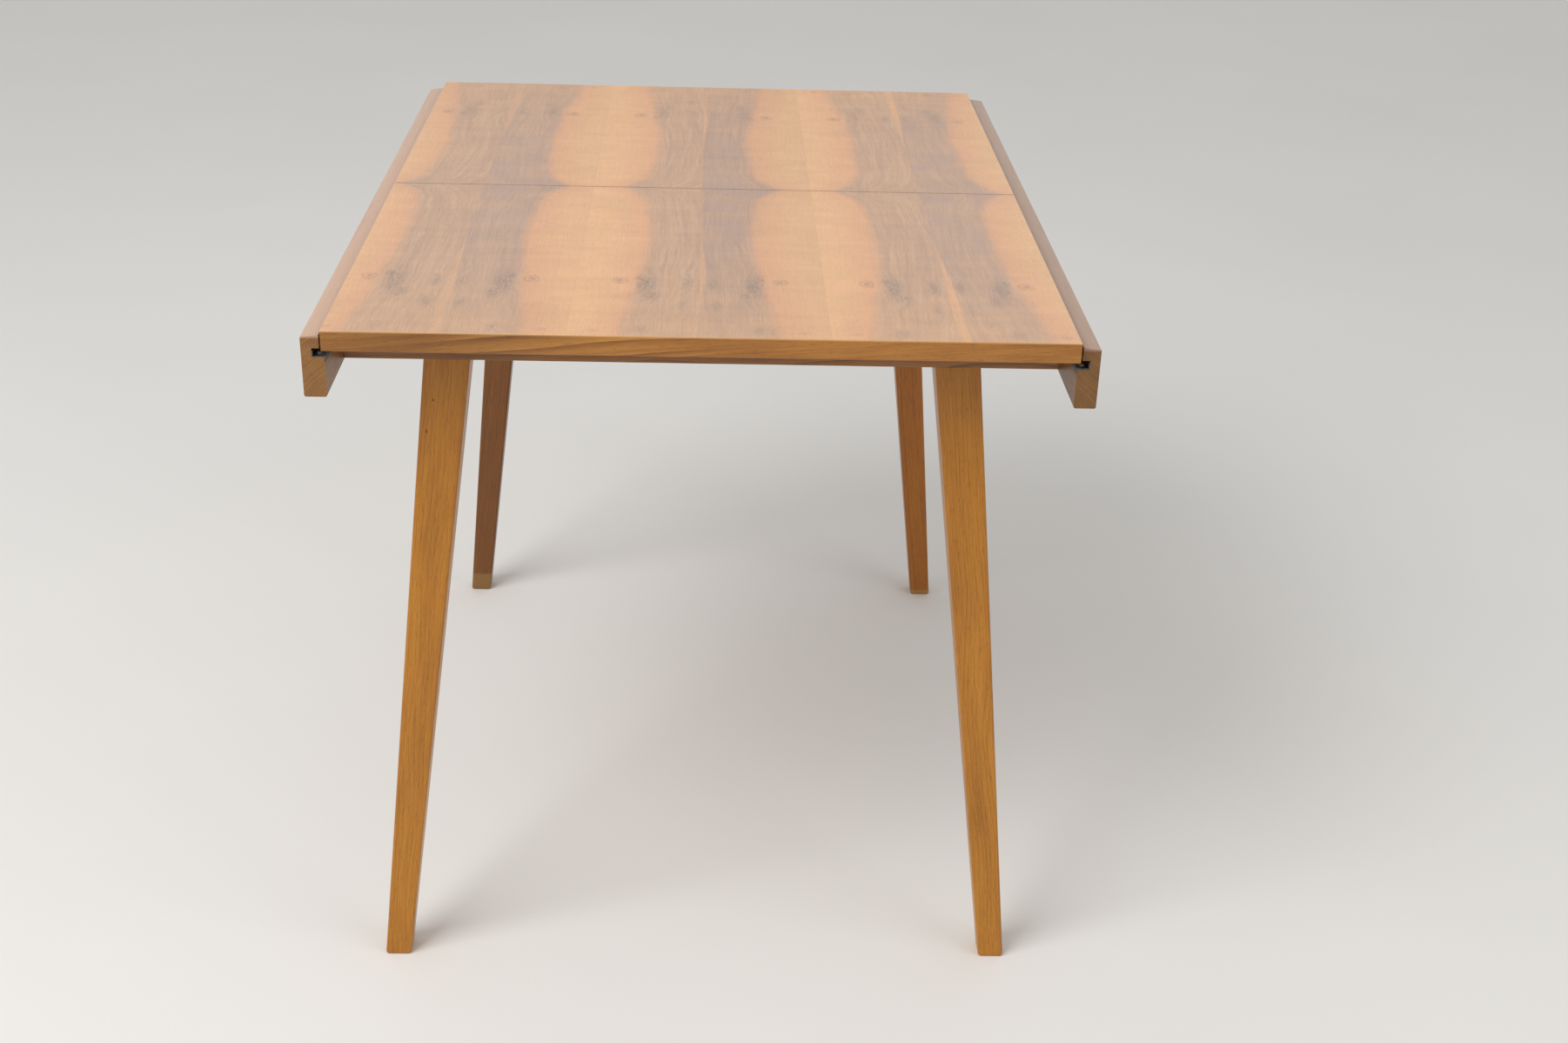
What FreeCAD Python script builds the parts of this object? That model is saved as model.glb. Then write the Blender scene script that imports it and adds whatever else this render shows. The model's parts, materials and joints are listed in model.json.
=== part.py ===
"""Extending dining table: two veneered half leaves slide apart on grooved side rails.

The frame stands on four splayed tapered legs. An insert leaf is stored on the cross boards under the top.
The origin is on the floor under the middle of the top: +X right, +Y to the back, +Z up, in millimetres.
"""
import FreeCAD
import Part
import Sketcher
import os
import re

SIZES = {
    # Half leaves: core, face veneer and a solid strip on the outer end
    "table_height": 760,
    "leaf_width": 724,
    "leaf_length": 489.6,
    "leaf_thick": 21,
    "seam_gap": 0.8,
    "veneer_thick": 0.9,
    "veneer_round": 0.6,
    "lipping_thick": 8,
    "lipping_round": 1.5,
    "leaf_travel": 200,
    # Side rails: a thin upper part beside the leaf, a groove, and a thicker lower part that makes a ledge
    "leaf_side_gap": 3,
    "rail_upper_thick": 17.5,
    "ledge_wide": 4.5,
    "rail_height": 63,
    "rail_drop": 7.2,
    "rail_top_fall": 2,
    "rail_end_inset": 7,
    "rail_edge_round": 2,
    "groove_height": 9,
    "groove_deep": 7.5,
    "groove_headroom": 0.5,
    # Bent steel liner of the groove, with its pins
    "liner_thick": 0.8,
    "liner_lip": 6,
    "liner_hem": 5,
    "liner_end_inset": 1,
    "track_pin_radius": 0.8,
    "track_pin_long": 11,
    "track_pin_head_radius": 2,
    "track_pin_head_thick": 0.8,
    "track_pin_drop": 2.6,
    # Runners under the leaves, and the screws that stop them at the rail ends
    "runner_long": 260,
    "runner_wide": 46,
    "runner_clear": 0.3,
    "runner_side_clear": 0.5,
    "runner_seam_inset": 10,
    "stop_clear": 5.1,
    "stop_head_radius": 3.5,
    "stop_head_thick": 3.5,
    "stop_shank_radius": 1.75,
    "stop_screw_long": 16,
    # Countersunk wood screws, and the room between any fastener and its hole
    "screw_head_radius": 4,
    "screw_head_deep": 3,
    "screw_shank_radius": 2,
    "fastener_fit": 0.05,
    "runner_screw_long": 20,
    "runner_screw_inset": 22,
    "batten_screw_long": 20,
    "batten_screw_inset": 25,
    "block_screw_long": 26,
    "block_screw_pitch": 44,
    "rail_screw_long": 44,
    # Cross boards housed in the rails, and the blocks on them
    "bearer_thick": 16,
    "bearer_wide": 100,
    "middle_bearer_wide": 80,
    "bearer_setback": 101,
    "bearer_lift": 3.2,
    "housing_deep": 8,
    "housing_fit": 0.1,
    "block_thick": 16,
    "corner_block_wide": 30,
    "corner_block_long": 80,
    "leg_block_wide": 72,
    "leg_block_inset": 5,
    "block_room": 1,
    # Square legs, tapered and splayed both ways
    "leg_top_wide": 47,
    "leg_foot_wide": 28,
    "leg_top_x": 258,
    "leg_foot_x": 335,
    "leg_foot_y": 438.5,
    "leg_flush": 1,
    "leg_edge_round": 3,
    "leg_bolt_radius": 4,
    "leg_bolt_embed": 50,
    "leg_bolt_tip": 3,
    "washer_radius": 9,
    "washer_thick": 1.6,
    "nut_corner_radius": 7.5,
    "nut_thick": 6.5,
    "leg_dowel_radius": 4,
    "leg_dowel_embed": 18,
    "leg_dowel_rise": 12,
    "leg_dowel_offset": 13,
    # Dowels that line up the leaves and the insert leaf
    "dowel_radius": 4,
    "dowel_embed": 16,
    "dowel_reach": 16,
    "dowel_pitch": 240,
    "socket_fit": 0.3,
    "socket_spare": 2,
    # Swing hooks under the seam
    "catch_x": 235,
    "catch_pivot_back": 30,
    "catch_reach": 60,
    "catch_wide": 16,
    "catch_thick": 2.5,
    "catch_clear": 0.3,
    "catch_pivot_radius": 3,
    "catch_head_radius": 6,
    "catch_head_thick": 2,
    "catch_embed": 12,
    "stud_radius": 3,
    "stud_head_radius": 5,
    "throat_clear": 1,
    # Insert leaf, stored turned a quarter round, and the cleats beside it
    "insert_rest_gap": 0.3,
    "insert_batten_wide": 39,
    "insert_batten_long": 360,
    "insert_batten_reach": 2,
    "cleat_wide": 12,
    "cleat_high": 12,
    "cleat_long": 80,
    "cleat_side_gap": 2,
    # How far a cutting shape runs past the face that it opens
    "overrun": 5,
}

# Places that several pieces share, each worked out from the sizes
PLACES = {
    "leaf_under": "table_height - leaf_thick",
    "veneer_under": "table_height - veneer_thick",
    "core_thick": "leaf_thick - veneer_thick",
    "seam_face": "seam_gap / 2",
    "table_half": "seam_face + leaf_length",
    "core_long": "leaf_length - lipping_thick",
    "rail_inner": "leaf_width / 2 + leaf_side_gap",
    "rail_outer": "rail_inner + rail_upper_thick",
    "ledge_inner": "rail_inner - ledge_wide",
    "rail_top": "table_height - rail_drop",
    "rail_bottom": "rail_top - rail_height",
    "rail_half": "table_half - rail_end_inset",
    "groove_top": "leaf_under + groove_headroom",
    "groove_floor": "groove_top - groove_height",
    "groove_back": "rail_inner + groove_deep",
    "track_floor": "groove_floor + liner_thick",
    "track_back": "groove_back - liner_thick",
    "liner_face": "ledge_inner - liner_thick",
    "runner_under": "track_floor + runner_clear",
    "runner_x": "track_back - runner_side_clear - runner_wide / 2",
    "runner_start": "seam_face + runner_seam_inset",
    "stop_x": "(ledge_inner + track_back) / 2",
    "stop_y": "rail_half - stop_clear - stop_head_radius",
    "runner_y": "runner_start + runner_long / 2",
    "bearer_long": "2 * (ledge_inner + housing_deep)",
    "bearer_front": "table_half - bearer_setback",
    "bearer_y": "bearer_front - bearer_wide / 2",
    "bearer_under": "rail_bottom + bearer_lift",
    "bearer_top": "bearer_under + bearer_thick",
    "block_top": "bearer_top + block_thick",
    "corner_block_face": "ledge_inner - corner_block_wide",
    "corner_block_x": "ledge_inner - corner_block_wide / 2",
    "leg_top_y": "bearer_front - leg_flush - leg_top_wide / 2",
    "nut_under": "block_top + washer_thick",
    "bolt_start": "bearer_under - leg_bolt_embed",
    "bolt_end": "nut_under + nut_thick + leg_bolt_tip",
    "insert_half": "leaf_travel - seam_face",
    "insert_batten_thick": "leaf_under - track_floor",
    "insert_foot": "bearer_top + insert_rest_gap",
    "insert_under": "insert_foot + insert_batten_thick",
    "insert_batten_y": "leaf_width / 2 + insert_batten_reach - insert_batten_wide / 2",
    "insert_dowel_z": "insert_under + leaf_thick / 2",
    "dowel_z": "leaf_under + leaf_thick / 2",
    "hook_under": "leaf_under - catch_clear - catch_thick",
    "hook_y": "0 - catch_pivot_back",
    "hook_tip_x": "catch_x + catch_reach",
    "catch_head_under": "hook_under - catch_clear - catch_head_thick",
    "stud_y": "catch_reach - catch_pivot_back",
    "throat_radius": "stud_radius + throat_clear",
}

SIDES = {"left": -1, "right": 1}
ENDS = {"front": -1, "back": 1}
DOWEL_STEPS = (-1, 0, 1)
TRACK_PIN_SHARES = (-0.9, -0.45, 0, 0.45, 0.9)
RUNNER_SCREW_STEPS = (-1, 0, 1)
PAIR = (-1, 1)
NEAR = 0.001

X_AXIS = FreeCAD.Vector(1, 0, 0)
Y_AXIS = FreeCAD.Vector(0, 1, 0)
TURNS = {
    "+x": FreeCAD.Rotation(Y_AXIS, 90),
    "-x": FreeCAD.Rotation(Y_AXIS, -90),
    "+y": FreeCAD.Rotation(X_AXIS, -90),
    "+z": FreeCAD.Rotation(),
    "-z": FreeCAD.Rotation(X_AXIS, 180),
}

doc = FreeCAD.newDocument("extending_table")
sheet = doc.addObject("Spreadsheet::Sheet", "sizes")
for row, (alias, value) in enumerate(SIZES.items(), start=1):
    sheet.set(f"A{row}", alias)
    sheet.set(f"B{row}", str(value))
    sheet.setAlias(f"B{row}", alias)
doc.recompute()

pieces = []


def formula(text):
    """Write a formula of plain size and place words in terms of the sheet's cells."""
    def cell(match):
        word = match.group()
        if word in PLACES:
            return f"({formula(PLACES[word])})"
        return f"sizes.{word}" if word in SIZES else word
    return re.sub(r"[a-z][a-z_]*", cell, str(text))


def bind(thing, **formulas):
    """Tie properties of a shape to formulas."""
    for name, text in formulas.items():
        thing.setExpression(name, formula(text))


def place(thing, x, y, z):
    """Tie a shape's position to formulas."""
    for axis, text in zip("xyz", (x, y, z)):
        thing.setExpression(f"Placement.Base.{axis}", formula(text))


def keep(thing, name):
    """Name a finished piece, which is written under that name."""
    thing.Label = name
    pieces.append(thing)
    return thing


def set_board(box, size, middle, bottom):
    """Size and place a box by its X, Y and Z size, its middle in X and Y, and its underside."""
    length, width, height = size
    bind(box, Length=length, Width=width, Height=height)
    place(box, f"{middle[0]} - ({length}) / 2", f"{middle[1]} - ({width}) / 2", bottom)


def board(name, size, middle, bottom):
    """A plain rectangular board."""
    box = doc.addObject("Part::Box", name)
    set_board(box, size, middle, bottom)
    return box


def rod(name, radius, length, start, axis="+z"):
    """A round bar from its start point along an axis."""
    bar = doc.addObject("Part::Cylinder", name)
    bar.Placement = FreeCAD.Placement(FreeCAD.Vector(), TURNS[axis])
    bind(bar, Radius=radius, Height=length)
    place(bar, *start)
    return bar


def taper(name, wide, narrow, length, start, axis):
    """A round taper from its wide end along an axis."""
    cone = doc.addObject("Part::Cone", name)
    cone.Placement = FreeCAD.Placement(FreeCAD.Vector(), TURNS[axis])
    bind(cone, Radius1=wide, Radius2=narrow, Height=length)
    place(cone, *start)
    return cone


def joined(name, shapes):
    """Several shapes as one solid."""
    whole = doc.addObject("Part::MultiFuse", name)
    whole.Shapes = shapes
    return whole


def group(name, solids):
    """Separate solids of one kind as one piece."""
    gathered = doc.addObject("Part::Compound", name)
    gathered.Links = solids
    return gathered


def cut_by(name, base, tools):
    """A shape with others cut from it."""
    cut = doc.addObject("Part::Cut", name)
    cut.Base = base
    cut.Tool = group(f"{name}_cuts", tools)
    return cut


def screw(name, length, start, axis):
    """A countersunk wood screw, and the hole that it fills."""
    solid = joined(name, [
        taper(f"{name}_head", "screw_head_radius", "screw_shank_radius", "screw_head_deep", start, axis),
        rod(f"{name}_shank", "screw_shank_radius", length, start, axis),
    ])
    hole = joined(f"{name}_hole", [
        taper(f"{name}_sink", "screw_head_radius + fastener_fit", "screw_shank_radius + fastener_fit",
              "screw_head_deep", start, axis),
        rod(f"{name}_pilot", "screw_shank_radius + fastener_fit", f"{length} + fastener_fit", start, axis),
    ])
    return solid, hole


def edges_where(shape, test):
    """The names of the edges whose two ends pass a test."""
    return [
        f"Edge{number}"
        for number, edge in enumerate(shape.Edges, start=1)
        if all(test(vertex.Point) for vertex in edge.Vertexes)
    ]


def long_edges(shape):
    """The names of the edges that run between the shape's lowest and highest faces."""
    low, high = shape.BoundBox.ZMin, shape.BoundBox.ZMax
    names = []
    for number, edge in enumerate(shape.Edges, start=1):
        heights = sorted(vertex.Z for vertex in edge.Vertexes)
        if abs(heights[0] - low) < NEAR and abs(heights[-1] - high) < NEAR:
            names.append(f"Edge{number}")
    return names


def round_edges(body, base, names, radius):
    """Round edges of the last feature of a body."""
    fillet = body.newObject("PartDesign::Fillet", f"{base.Name}_round")
    fillet.Base = (base, names)
    bind(fillet, Radius=radius)
    body.Tip = fillet
    doc.recompute()
    return fillet


def moulding(name, outline, half_length):
    """A straight bar along Y whose XZ outline is a list of corner formulas."""
    body = doc.addObject("PartDesign::Body", name)
    sketch = body.newObject("Sketcher::SketchObject", f"{name}_outline")
    plane = next(part for part in body.Origin.OriginFeatures if part.Role == "XZ_Plane")
    sketch.AttachmentSupport = (plane, [""])
    sketch.MapMode = "FlatFace"
    corners = [
        FreeCAD.Vector(sheet.evalExpression(formula(across)), sheet.evalExpression(formula(height)), 0)
        for across, height in outline
    ]
    for number, corner in enumerate(corners):
        sketch.addGeometry(Part.LineSegment(corner, corners[(number + 1) % len(corners)]))
    start, end, origin = 1, 2, -1
    for number, (across, height) in enumerate(outline):
        before = (number - 1) % len(outline)
        sketch.addConstraint(Sketcher.Constraint("Coincident", before, end, number, start))
        for kind, text, reach in (
            ("DistanceX", across, corners[number].x),
            ("DistanceY", height, corners[number].y),
        ):
            index = sketch.addConstraint(Sketcher.Constraint(kind, origin, start, number, start, reach))
            label = f"{kind}_{number}"
            sketch.renameConstraint(index, label)
            sketch.setExpression(f"Constraints.{label}", formula(text))
    pad = body.newObject("PartDesign::Pad", f"{name}_pad")
    pad.Profile = sketch
    pad.SideType = "Symmetric"
    bind(pad, Length=f"2 * ({half_length})")
    doc.recompute()
    return body, pad


def rounded_board(name, size, middle, bottom, radius, test):
    """A board with the edges rounded whose ends pass a test of the point and the board's box."""
    body = doc.addObject("PartDesign::Body", name)
    box = body.newObject("PartDesign::AdditiveBox", f"{name}_blank")
    set_board(box, size, middle, bottom)
    doc.recompute()
    limits = box.Shape.BoundBox
    round_edges(body, box, edges_where(box.Shape, lambda point: test(point, limits)), radius)
    return body


def mirrored(name, source):
    """The left-hand copy of a right-hand piece."""
    copy = doc.addObject("Part::Mirroring", name)
    copy.Source = source
    copy.Normal = X_AXIS
    return copy


def leaf(end_name, end, holes):
    """One half leaf: core, face veneer and end strip."""
    name = f"{end_name}_leaf"
    core = board(f"{name}_core", ("leaf_width", "core_long", "core_thick"),
                 (0, f"{end} * (seam_face + core_long / 2)"), "leaf_under")
    keep(cut_by(f"{name}_drilled", core, holes), f"{name}_panel")

    def outer(value, low, high):
        return abs(value - (low if end < 0 else high)) < NEAR

    def end_arris(point, box):
        return outer(point.y, box.YMin, box.YMax)

    lipping = rounded_board(
        f"{name}_strip", ("leaf_width", "lipping_thick", "core_thick"),
        (0, f"{end} * (table_half - lipping_thick / 2)"), "leaf_under", "lipping_round",
        lambda point, box: end_arris(point, box) and point.z < box.ZMax - NEAR)
    keep(lipping, f"{name}_lipping")
    veneer = rounded_board(
        f"{name}_face", ("leaf_width", "leaf_length", "veneer_thick"),
        (0, f"{end} * (seam_face + leaf_length / 2)"), "veneer_under", "veneer_round",
        lambda point, box: point.z > box.ZMax - NEAR and end_arris(point, box))
    keep(veneer, f"{name}_veneer")


def runners(end_name, end):
    """The two runners of a leaf with their screws. Returns the screw holes, which the core shares."""
    solids, holes = [], []
    for side_name, side in SIDES.items():
        name = f"{end_name}_{side_name}_runner"
        own_holes = []
        for step in RUNNER_SCREW_STEPS:
            along = f"{end} * runner_y + {step} * (runner_long / 2 - runner_screw_inset)"
            solid, hole = screw(f"{name}_screw_{step + 1}", "runner_screw_long",
                                (f"{side} * runner_x", along, "runner_under"), "+z")
            solids.append(solid)
            own_holes.append(hole)
        blank = board(f"{name}_blank", ("runner_wide", "runner_long", "leaf_under - runner_under"),
                      (f"{side} * runner_x", f"{end} * runner_y"), "runner_under")
        keep(cut_by(f"{name}_drilled", blank, own_holes), name)
        holes += own_holes
    keep(group(f"{end_name}_runner_screw_set", solids), f"{end_name}_runner_screws")
    return holes


def seam_dowels():
    """Dowels glued in the front leaf. Returns their holes there and their sockets in the back leaf."""
    solids, holes, sockets = [], [], []
    for step in DOWEL_STEPS:
        name = f"seam_dowel_{step + 1}"
        across = f"{step} * dowel_pitch"
        inner_end = (across, "0 - seam_face - dowel_embed", "dowel_z")
        whole = "dowel_embed + seam_gap + dowel_reach"
        solids.append(rod(name, "dowel_radius", whole, inner_end, "+y"))
        hole_end = (across, "0 - seam_face - dowel_embed - fastener_fit", "dowel_z")
        holes.append(rod(f"{name}_hole", "dowel_radius + fastener_fit",
                         "dowel_embed + fastener_fit + overrun", hole_end, "+y"))
        sockets.append(rod(f"{name}_socket", "dowel_radius + socket_fit",
                           "overrun + dowel_reach + socket_spare",
                           (across, "seam_face - overrun", "dowel_z"), "+y"))
    keep(group("seam_dowel_set", solids), "seam_dowels")
    return holes, sockets


def headed_pin(name, x, y, radius, head_radius):
    """A pin in a leaf with a head under the hook. Returns it and its hole."""
    solid = joined(name, [
        rod(f"{name}_shank", radius, "leaf_under + catch_embed - catch_head_under",
            (x, y, "catch_head_under")),
        rod(f"{name}_head", head_radius, "catch_head_thick", (x, y, "catch_head_under")),
    ])
    hole = rod(f"{name}_hole", f"{radius} + fastener_fit", "overrun + catch_embed + fastener_fit",
               (x, y, "leaf_under - overrun"))
    return solid, hole


def catches():
    """Swing hooks with their pivot screws and studs. Returns the holes in the front and back leaf."""
    screws, studs, front_holes, back_holes = [], [], [], []
    for side_name, side in SIDES.items():
        x = f"{side} * catch_x"
        solid, hole = headed_pin(f"{side_name}_catch_pivot", x, "hook_y", "catch_pivot_radius",
                                 "catch_head_radius")
        screws.append(solid)
        front_holes.append(hole)
        solid, hole = headed_pin(f"{side_name}_catch_stud", x, "stud_y", "stud_radius", "stud_head_radius")
        studs.append(solid)
        back_holes.append(hole)
    keep(group("catch_pivot_set", screws), "catch_pivot_screws")
    keep(group("catch_stud_set", studs), "catch_studs")

    arm = joined("hook_arm", [
        board("hook_bar", ("catch_reach", "catch_wide", "catch_thick"),
              ("catch_x + catch_reach / 2", "hook_y"), "hook_under"),
        rod("hook_eye", "catch_wide / 2", "catch_thick", ("catch_x", "hook_y", "hook_under")),
        rod("hook_nose", "catch_wide / 2", "catch_thick", ("hook_tip_x", "hook_y", "hook_under")),
    ])
    through = "catch_thick + 2 * overrun"
    below = "hook_under - overrun"
    hook = cut_by("hook", arm, [
        rod("hook_pivot_hole", "catch_pivot_radius + fastener_fit", through, ("catch_x", "hook_y", below)),
        rod("hook_throat_end", "throat_radius", through, ("hook_tip_x", "hook_y", below)),
        board("hook_throat", ("2 * throat_radius", "catch_wide", through),
              ("hook_tip_x", "hook_y + catch_wide / 2"), below),
    ])
    keep(hook, "right_catch_hook")
    keep(mirrored("hook_copy", hook), "left_catch_hook")
    return front_holes, back_holes


def insert_leaf():
    """The stored insert leaf: core, face veneer, end battens with screws, and dowels on one edge."""
    batten_screws, core_holes = [], []
    for end_name, end in ENDS.items():
        name = f"insert_{end_name}_batten"
        own_holes = []
        for step in PAIR:
            solid, hole = screw(f"{name}_screw_{step + 1}", "batten_screw_long",
                                (f"{step} * (insert_batten_long / 2 - batten_screw_inset)",
                                 f"{end} * insert_batten_y", "insert_foot"), "+z")
            batten_screws.append(solid)
            own_holes.append(hole)
        blank = board(f"{name}_blank", ("insert_batten_long", "insert_batten_wide", "insert_batten_thick"),
                      (0, f"{end} * insert_batten_y"), "insert_foot")
        keep(cut_by(f"{name}_drilled", blank, own_holes), name)
        core_holes += own_holes
    keep(group("insert_batten_screw_set", batten_screws), "insert_batten_screws")

    dowels = []
    for step in DOWEL_STEPS:
        name = f"insert_dowel_{step + 1}"
        along = f"{step} * dowel_pitch"
        dowels.append(rod(name, "dowel_radius", "dowel_embed + dowel_reach",
                          ("insert_half - dowel_embed", along, "insert_dowel_z"), "+x"))
        core_holes.append(rod(f"{name}_hole", "dowel_radius + fastener_fit",
                              "dowel_embed + fastener_fit + overrun",
                              ("insert_half - dowel_embed - fastener_fit", along, "insert_dowel_z"), "+x"))
        core_holes.append(rod(f"{name}_socket", "dowel_radius + socket_fit",
                              "overrun + dowel_reach + socket_spare",
                              ("0 - insert_half - overrun", along, "insert_dowel_z"), "+x"))
    keep(group("insert_dowel_set", dowels), "insert_dowels")

    core = board("insert_core", ("2 * insert_half", "leaf_width", "core_thick"), (0, 0), "insert_under")
    keep(cut_by("insert_drilled", core, core_holes), "insert_panel")
    face = board("insert_face", ("2 * insert_half", "leaf_width", "veneer_thick"), (0, 0),
                 "insert_under + core_thick")
    keep(face, "insert_veneer")


def leg(end_name, end, side_name, side, holes):
    """One tapered, splayed leg with rounded edges and a rounded foot."""
    name = f"{end_name}_{side_name}_leg"
    body = doc.addObject("PartDesign::Body", f"{name}_blank")
    wedge = body.newObject("PartDesign::AdditiveWedge", f"{name}_taper")
    # The wedge rises along its own Y, so it is turned upright and its own Z runs towards the front
    wedge.Placement = FreeCAD.Placement(FreeCAD.Vector(), FreeCAD.Rotation(X_AXIS, 90))
    bind(wedge, Ymin="0", Ymax="bearer_under")
    for near, half in (("min", "-1"), ("max", "1")):
        bind(wedge, **{
            f"X{near}": f"{side} * leg_foot_x + {half} * leg_foot_wide / 2",
            f"Z{near}": f"{-end} * leg_foot_y + {half} * leg_foot_wide / 2",
            f"X2{near}": f"{side} * leg_top_x + {half} * leg_top_wide / 2",
            f"Z2{near}": f"{-end} * leg_top_y + {half} * leg_top_wide / 2",
        })
    doc.recompute()
    floor = wedge.Shape.BoundBox.ZMin
    foot = edges_where(wedge.Shape, lambda point: abs(point.z - floor) < NEAR)
    round_edges(body, wedge, long_edges(wedge.Shape) + foot, "leg_edge_round")
    keep(cut_by(f"{name}_drilled", body, holes), name)


def leg_fixings(end, side, name):
    """The bolt, washer, nut and dowels of one leg, and the holes for them."""
    x, y = f"{side} * leg_top_x", f"{end} * leg_top_y"
    bolt = rod(f"{name}_bolt", "leg_bolt_radius", "bolt_end - bolt_start", (x, y, "bolt_start"))
    bolt_hole = rod(f"{name}_bolt_hole", "leg_bolt_radius + fastener_fit",
                    "bolt_end - bolt_start + fastener_fit", (x, y, "bolt_start - fastener_fit"))
    disc = rod(f"{name}_washer_disc", "washer_radius", "washer_thick", (x, y, "block_top"))
    washer = cut_by(f"{name}_washer", disc, [bolt_hole])
    hexagon = doc.addObject("Part::Prism", f"{name}_hexagon")
    hexagon.Polygon = 6
    bind(hexagon, Circumradius="nut_corner_radius", Height="nut_thick")
    place(hexagon, x, y, "nut_under")
    nut = cut_by(f"{name}_nut", hexagon, [bolt_hole])
    dowels, dowel_holes = [], []
    for step in PAIR:
        across = f"{x} + {step} * leg_dowel_offset"
        dowels.append(rod(f"{name}_dowel_{step + 1}", "leg_dowel_radius", "leg_dowel_embed + leg_dowel_rise",
                          (across, y, "bearer_under - leg_dowel_embed")))
        dowel_holes.append(rod(
            f"{name}_dowel_hole_{step + 1}", "leg_dowel_radius + fastener_fit",
            "leg_dowel_embed + leg_dowel_rise + 2 * fastener_fit",
            (across, y, "bearer_under - leg_dowel_embed - fastener_fit")))
    return bolt, washer, nut, dowels, bolt_hole, dowel_holes


def corner_block(end_name, end, side_name, side):
    """A block in the corner of a bearer and a rail. Returns its screws, and their holes in each."""
    name = f"{end_name}_{side_name}_corner_block"
    x, y = f"{side} * corner_block_x", f"{end} * bearer_y"
    screws, down_holes = [], []
    for step in PAIR:
        solid, hole = screw(f"{name}_screw_{step + 1}", "block_screw_long",
                            (x, f"{y} + {step} * block_screw_pitch / 2", "block_top"), "-z")
        screws.append(solid)
        down_holes.append(hole)
    solid, rail_hole = screw(f"{name}_rail_screw", "rail_screw_long",
                             (f"{side} * corner_block_face", y, "bearer_top + block_thick / 2"),
                             "+x" if side > 0 else "-x")
    screws.append(solid)
    blank = board(f"{name}_blank", ("corner_block_wide", "corner_block_long", "block_thick"), (x, y),
                  "bearer_top")
    keep(cut_by(f"{name}_drilled", blank, down_holes + [rail_hole]), name)
    return screws, down_holes, rail_hole


def track_pins():
    """Pins through the hem of each liner. Returns the holes on the right-hand side."""
    solids, holes = [], []
    for side_name, side in SIDES.items():
        axis = "+x" if side > 0 else "-x"
        for number, share in enumerate(TRACK_PIN_SHARES):
            name = f"{side_name}_track_pin_{number}"
            start = (f"{side} * (liner_face - track_pin_head_thick)", f"{share} * rail_half",
                     "groove_floor - track_pin_drop")
            solids.append(joined(name, [
                rod(f"{name}_head", "track_pin_head_radius", "track_pin_head_thick", start, axis),
                rod(f"{name}_shank", "track_pin_radius", "track_pin_long", start, axis),
            ]))
            if side > 0:
                holes.append(rod(f"{name}_hole", "track_pin_radius + fastener_fit",
                                 "track_pin_long + fastener_fit", start, axis))
    keep(group("track_pin_set", solids), "track_pins")
    return holes


def stop_screws():
    """Round-headed screws that stop the runners. Returns the holes on the right-hand side."""
    solids, holes = [], []
    for side_name, side in SIDES.items():
        for end_name, end in ENDS.items():
            name = f"{end_name}_{side_name}_stop"
            x, y = f"{side} * stop_x", f"{end} * stop_y"
            low = "track_floor - stop_screw_long"
            solids.append(joined(name, [
                rod(f"{name}_shank", "stop_shank_radius", "stop_screw_long", (x, y, low)),
                rod(f"{name}_head", "stop_head_radius", "stop_head_thick", (x, y, "track_floor")),
            ]))
            if side > 0:
                holes.append(rod(f"{name}_hole", "stop_shank_radius + fastener_fit",
                                 "stop_screw_long + fastener_fit + overrun",
                                 (x, y, f"{low} - fastener_fit")))
    keep(group("stop_screw_set", solids), "stop_screws")
    return holes


def rails_and_liners(rail_holes, track_holes):
    """The grooved rails and their bent liners: the right-hand ones, and their mirror images."""
    body, pad = moulding("rail_bar", [
        ("ledge_inner", "rail_bottom"),
        ("rail_outer", "rail_bottom"),
        ("rail_outer", "rail_top - rail_top_fall"),
        ("rail_inner", "rail_top"),
        ("rail_inner", "groove_top"),
        ("groove_back", "groove_top"),
        ("groove_back", "groove_floor"),
        ("ledge_inner", "groove_floor"),
    ], "rail_half")
    low = pad.Shape.BoundBox.ZMin
    along = {
        f"Edge{number}"
        for number, edge in enumerate(pad.Shape.Edges, start=1)
        if abs(edge.Vertexes[0].Y - edge.Vertexes[-1].Y) > NEAR
    }
    under = set(edges_where(pad.Shape, lambda point: abs(point.z - low) < NEAR))
    round_edges(body, pad, sorted(along & under), "rail_edge_round")
    housings = [
        board(f"{name}_housing", ("overrun + housing_deep + housing_fit", f"{wide} + 2 * housing_fit",
                                  "bearer_thick + 2 * housing_fit"),
              ("ledge_inner + (housing_deep + housing_fit - overrun) / 2", middle),
              "bearer_under - housing_fit")
        for name, wide, middle in (
            ("front", "bearer_wide", "0 - bearer_y"),
            ("middle", "middle_bearer_wide", "0"),
            ("back", "bearer_wide", "bearer_y"),
        )
    ]
    rail = keep(cut_by("rail_housed", body, housings + rail_holes + track_holes), "right_rail")
    keep(mirrored("rail_copy", rail), "left_rail")

    strip, _ = moulding("liner_strip", [
        ("liner_face", "groove_floor - liner_hem"),
        ("ledge_inner", "groove_floor - liner_hem"),
        ("ledge_inner", "groove_floor"),
        ("groove_back", "groove_floor"),
        ("groove_back", "groove_floor + liner_lip"),
        ("track_back", "groove_floor + liner_lip"),
        ("track_back", "track_floor"),
        ("liner_face", "track_floor"),
    ], "rail_half - liner_end_inset")
    liner = keep(cut_by("liner_pierced", strip, track_holes), "right_track_liner")
    keep(mirrored("liner_copy", liner), "left_track_liner")


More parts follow.
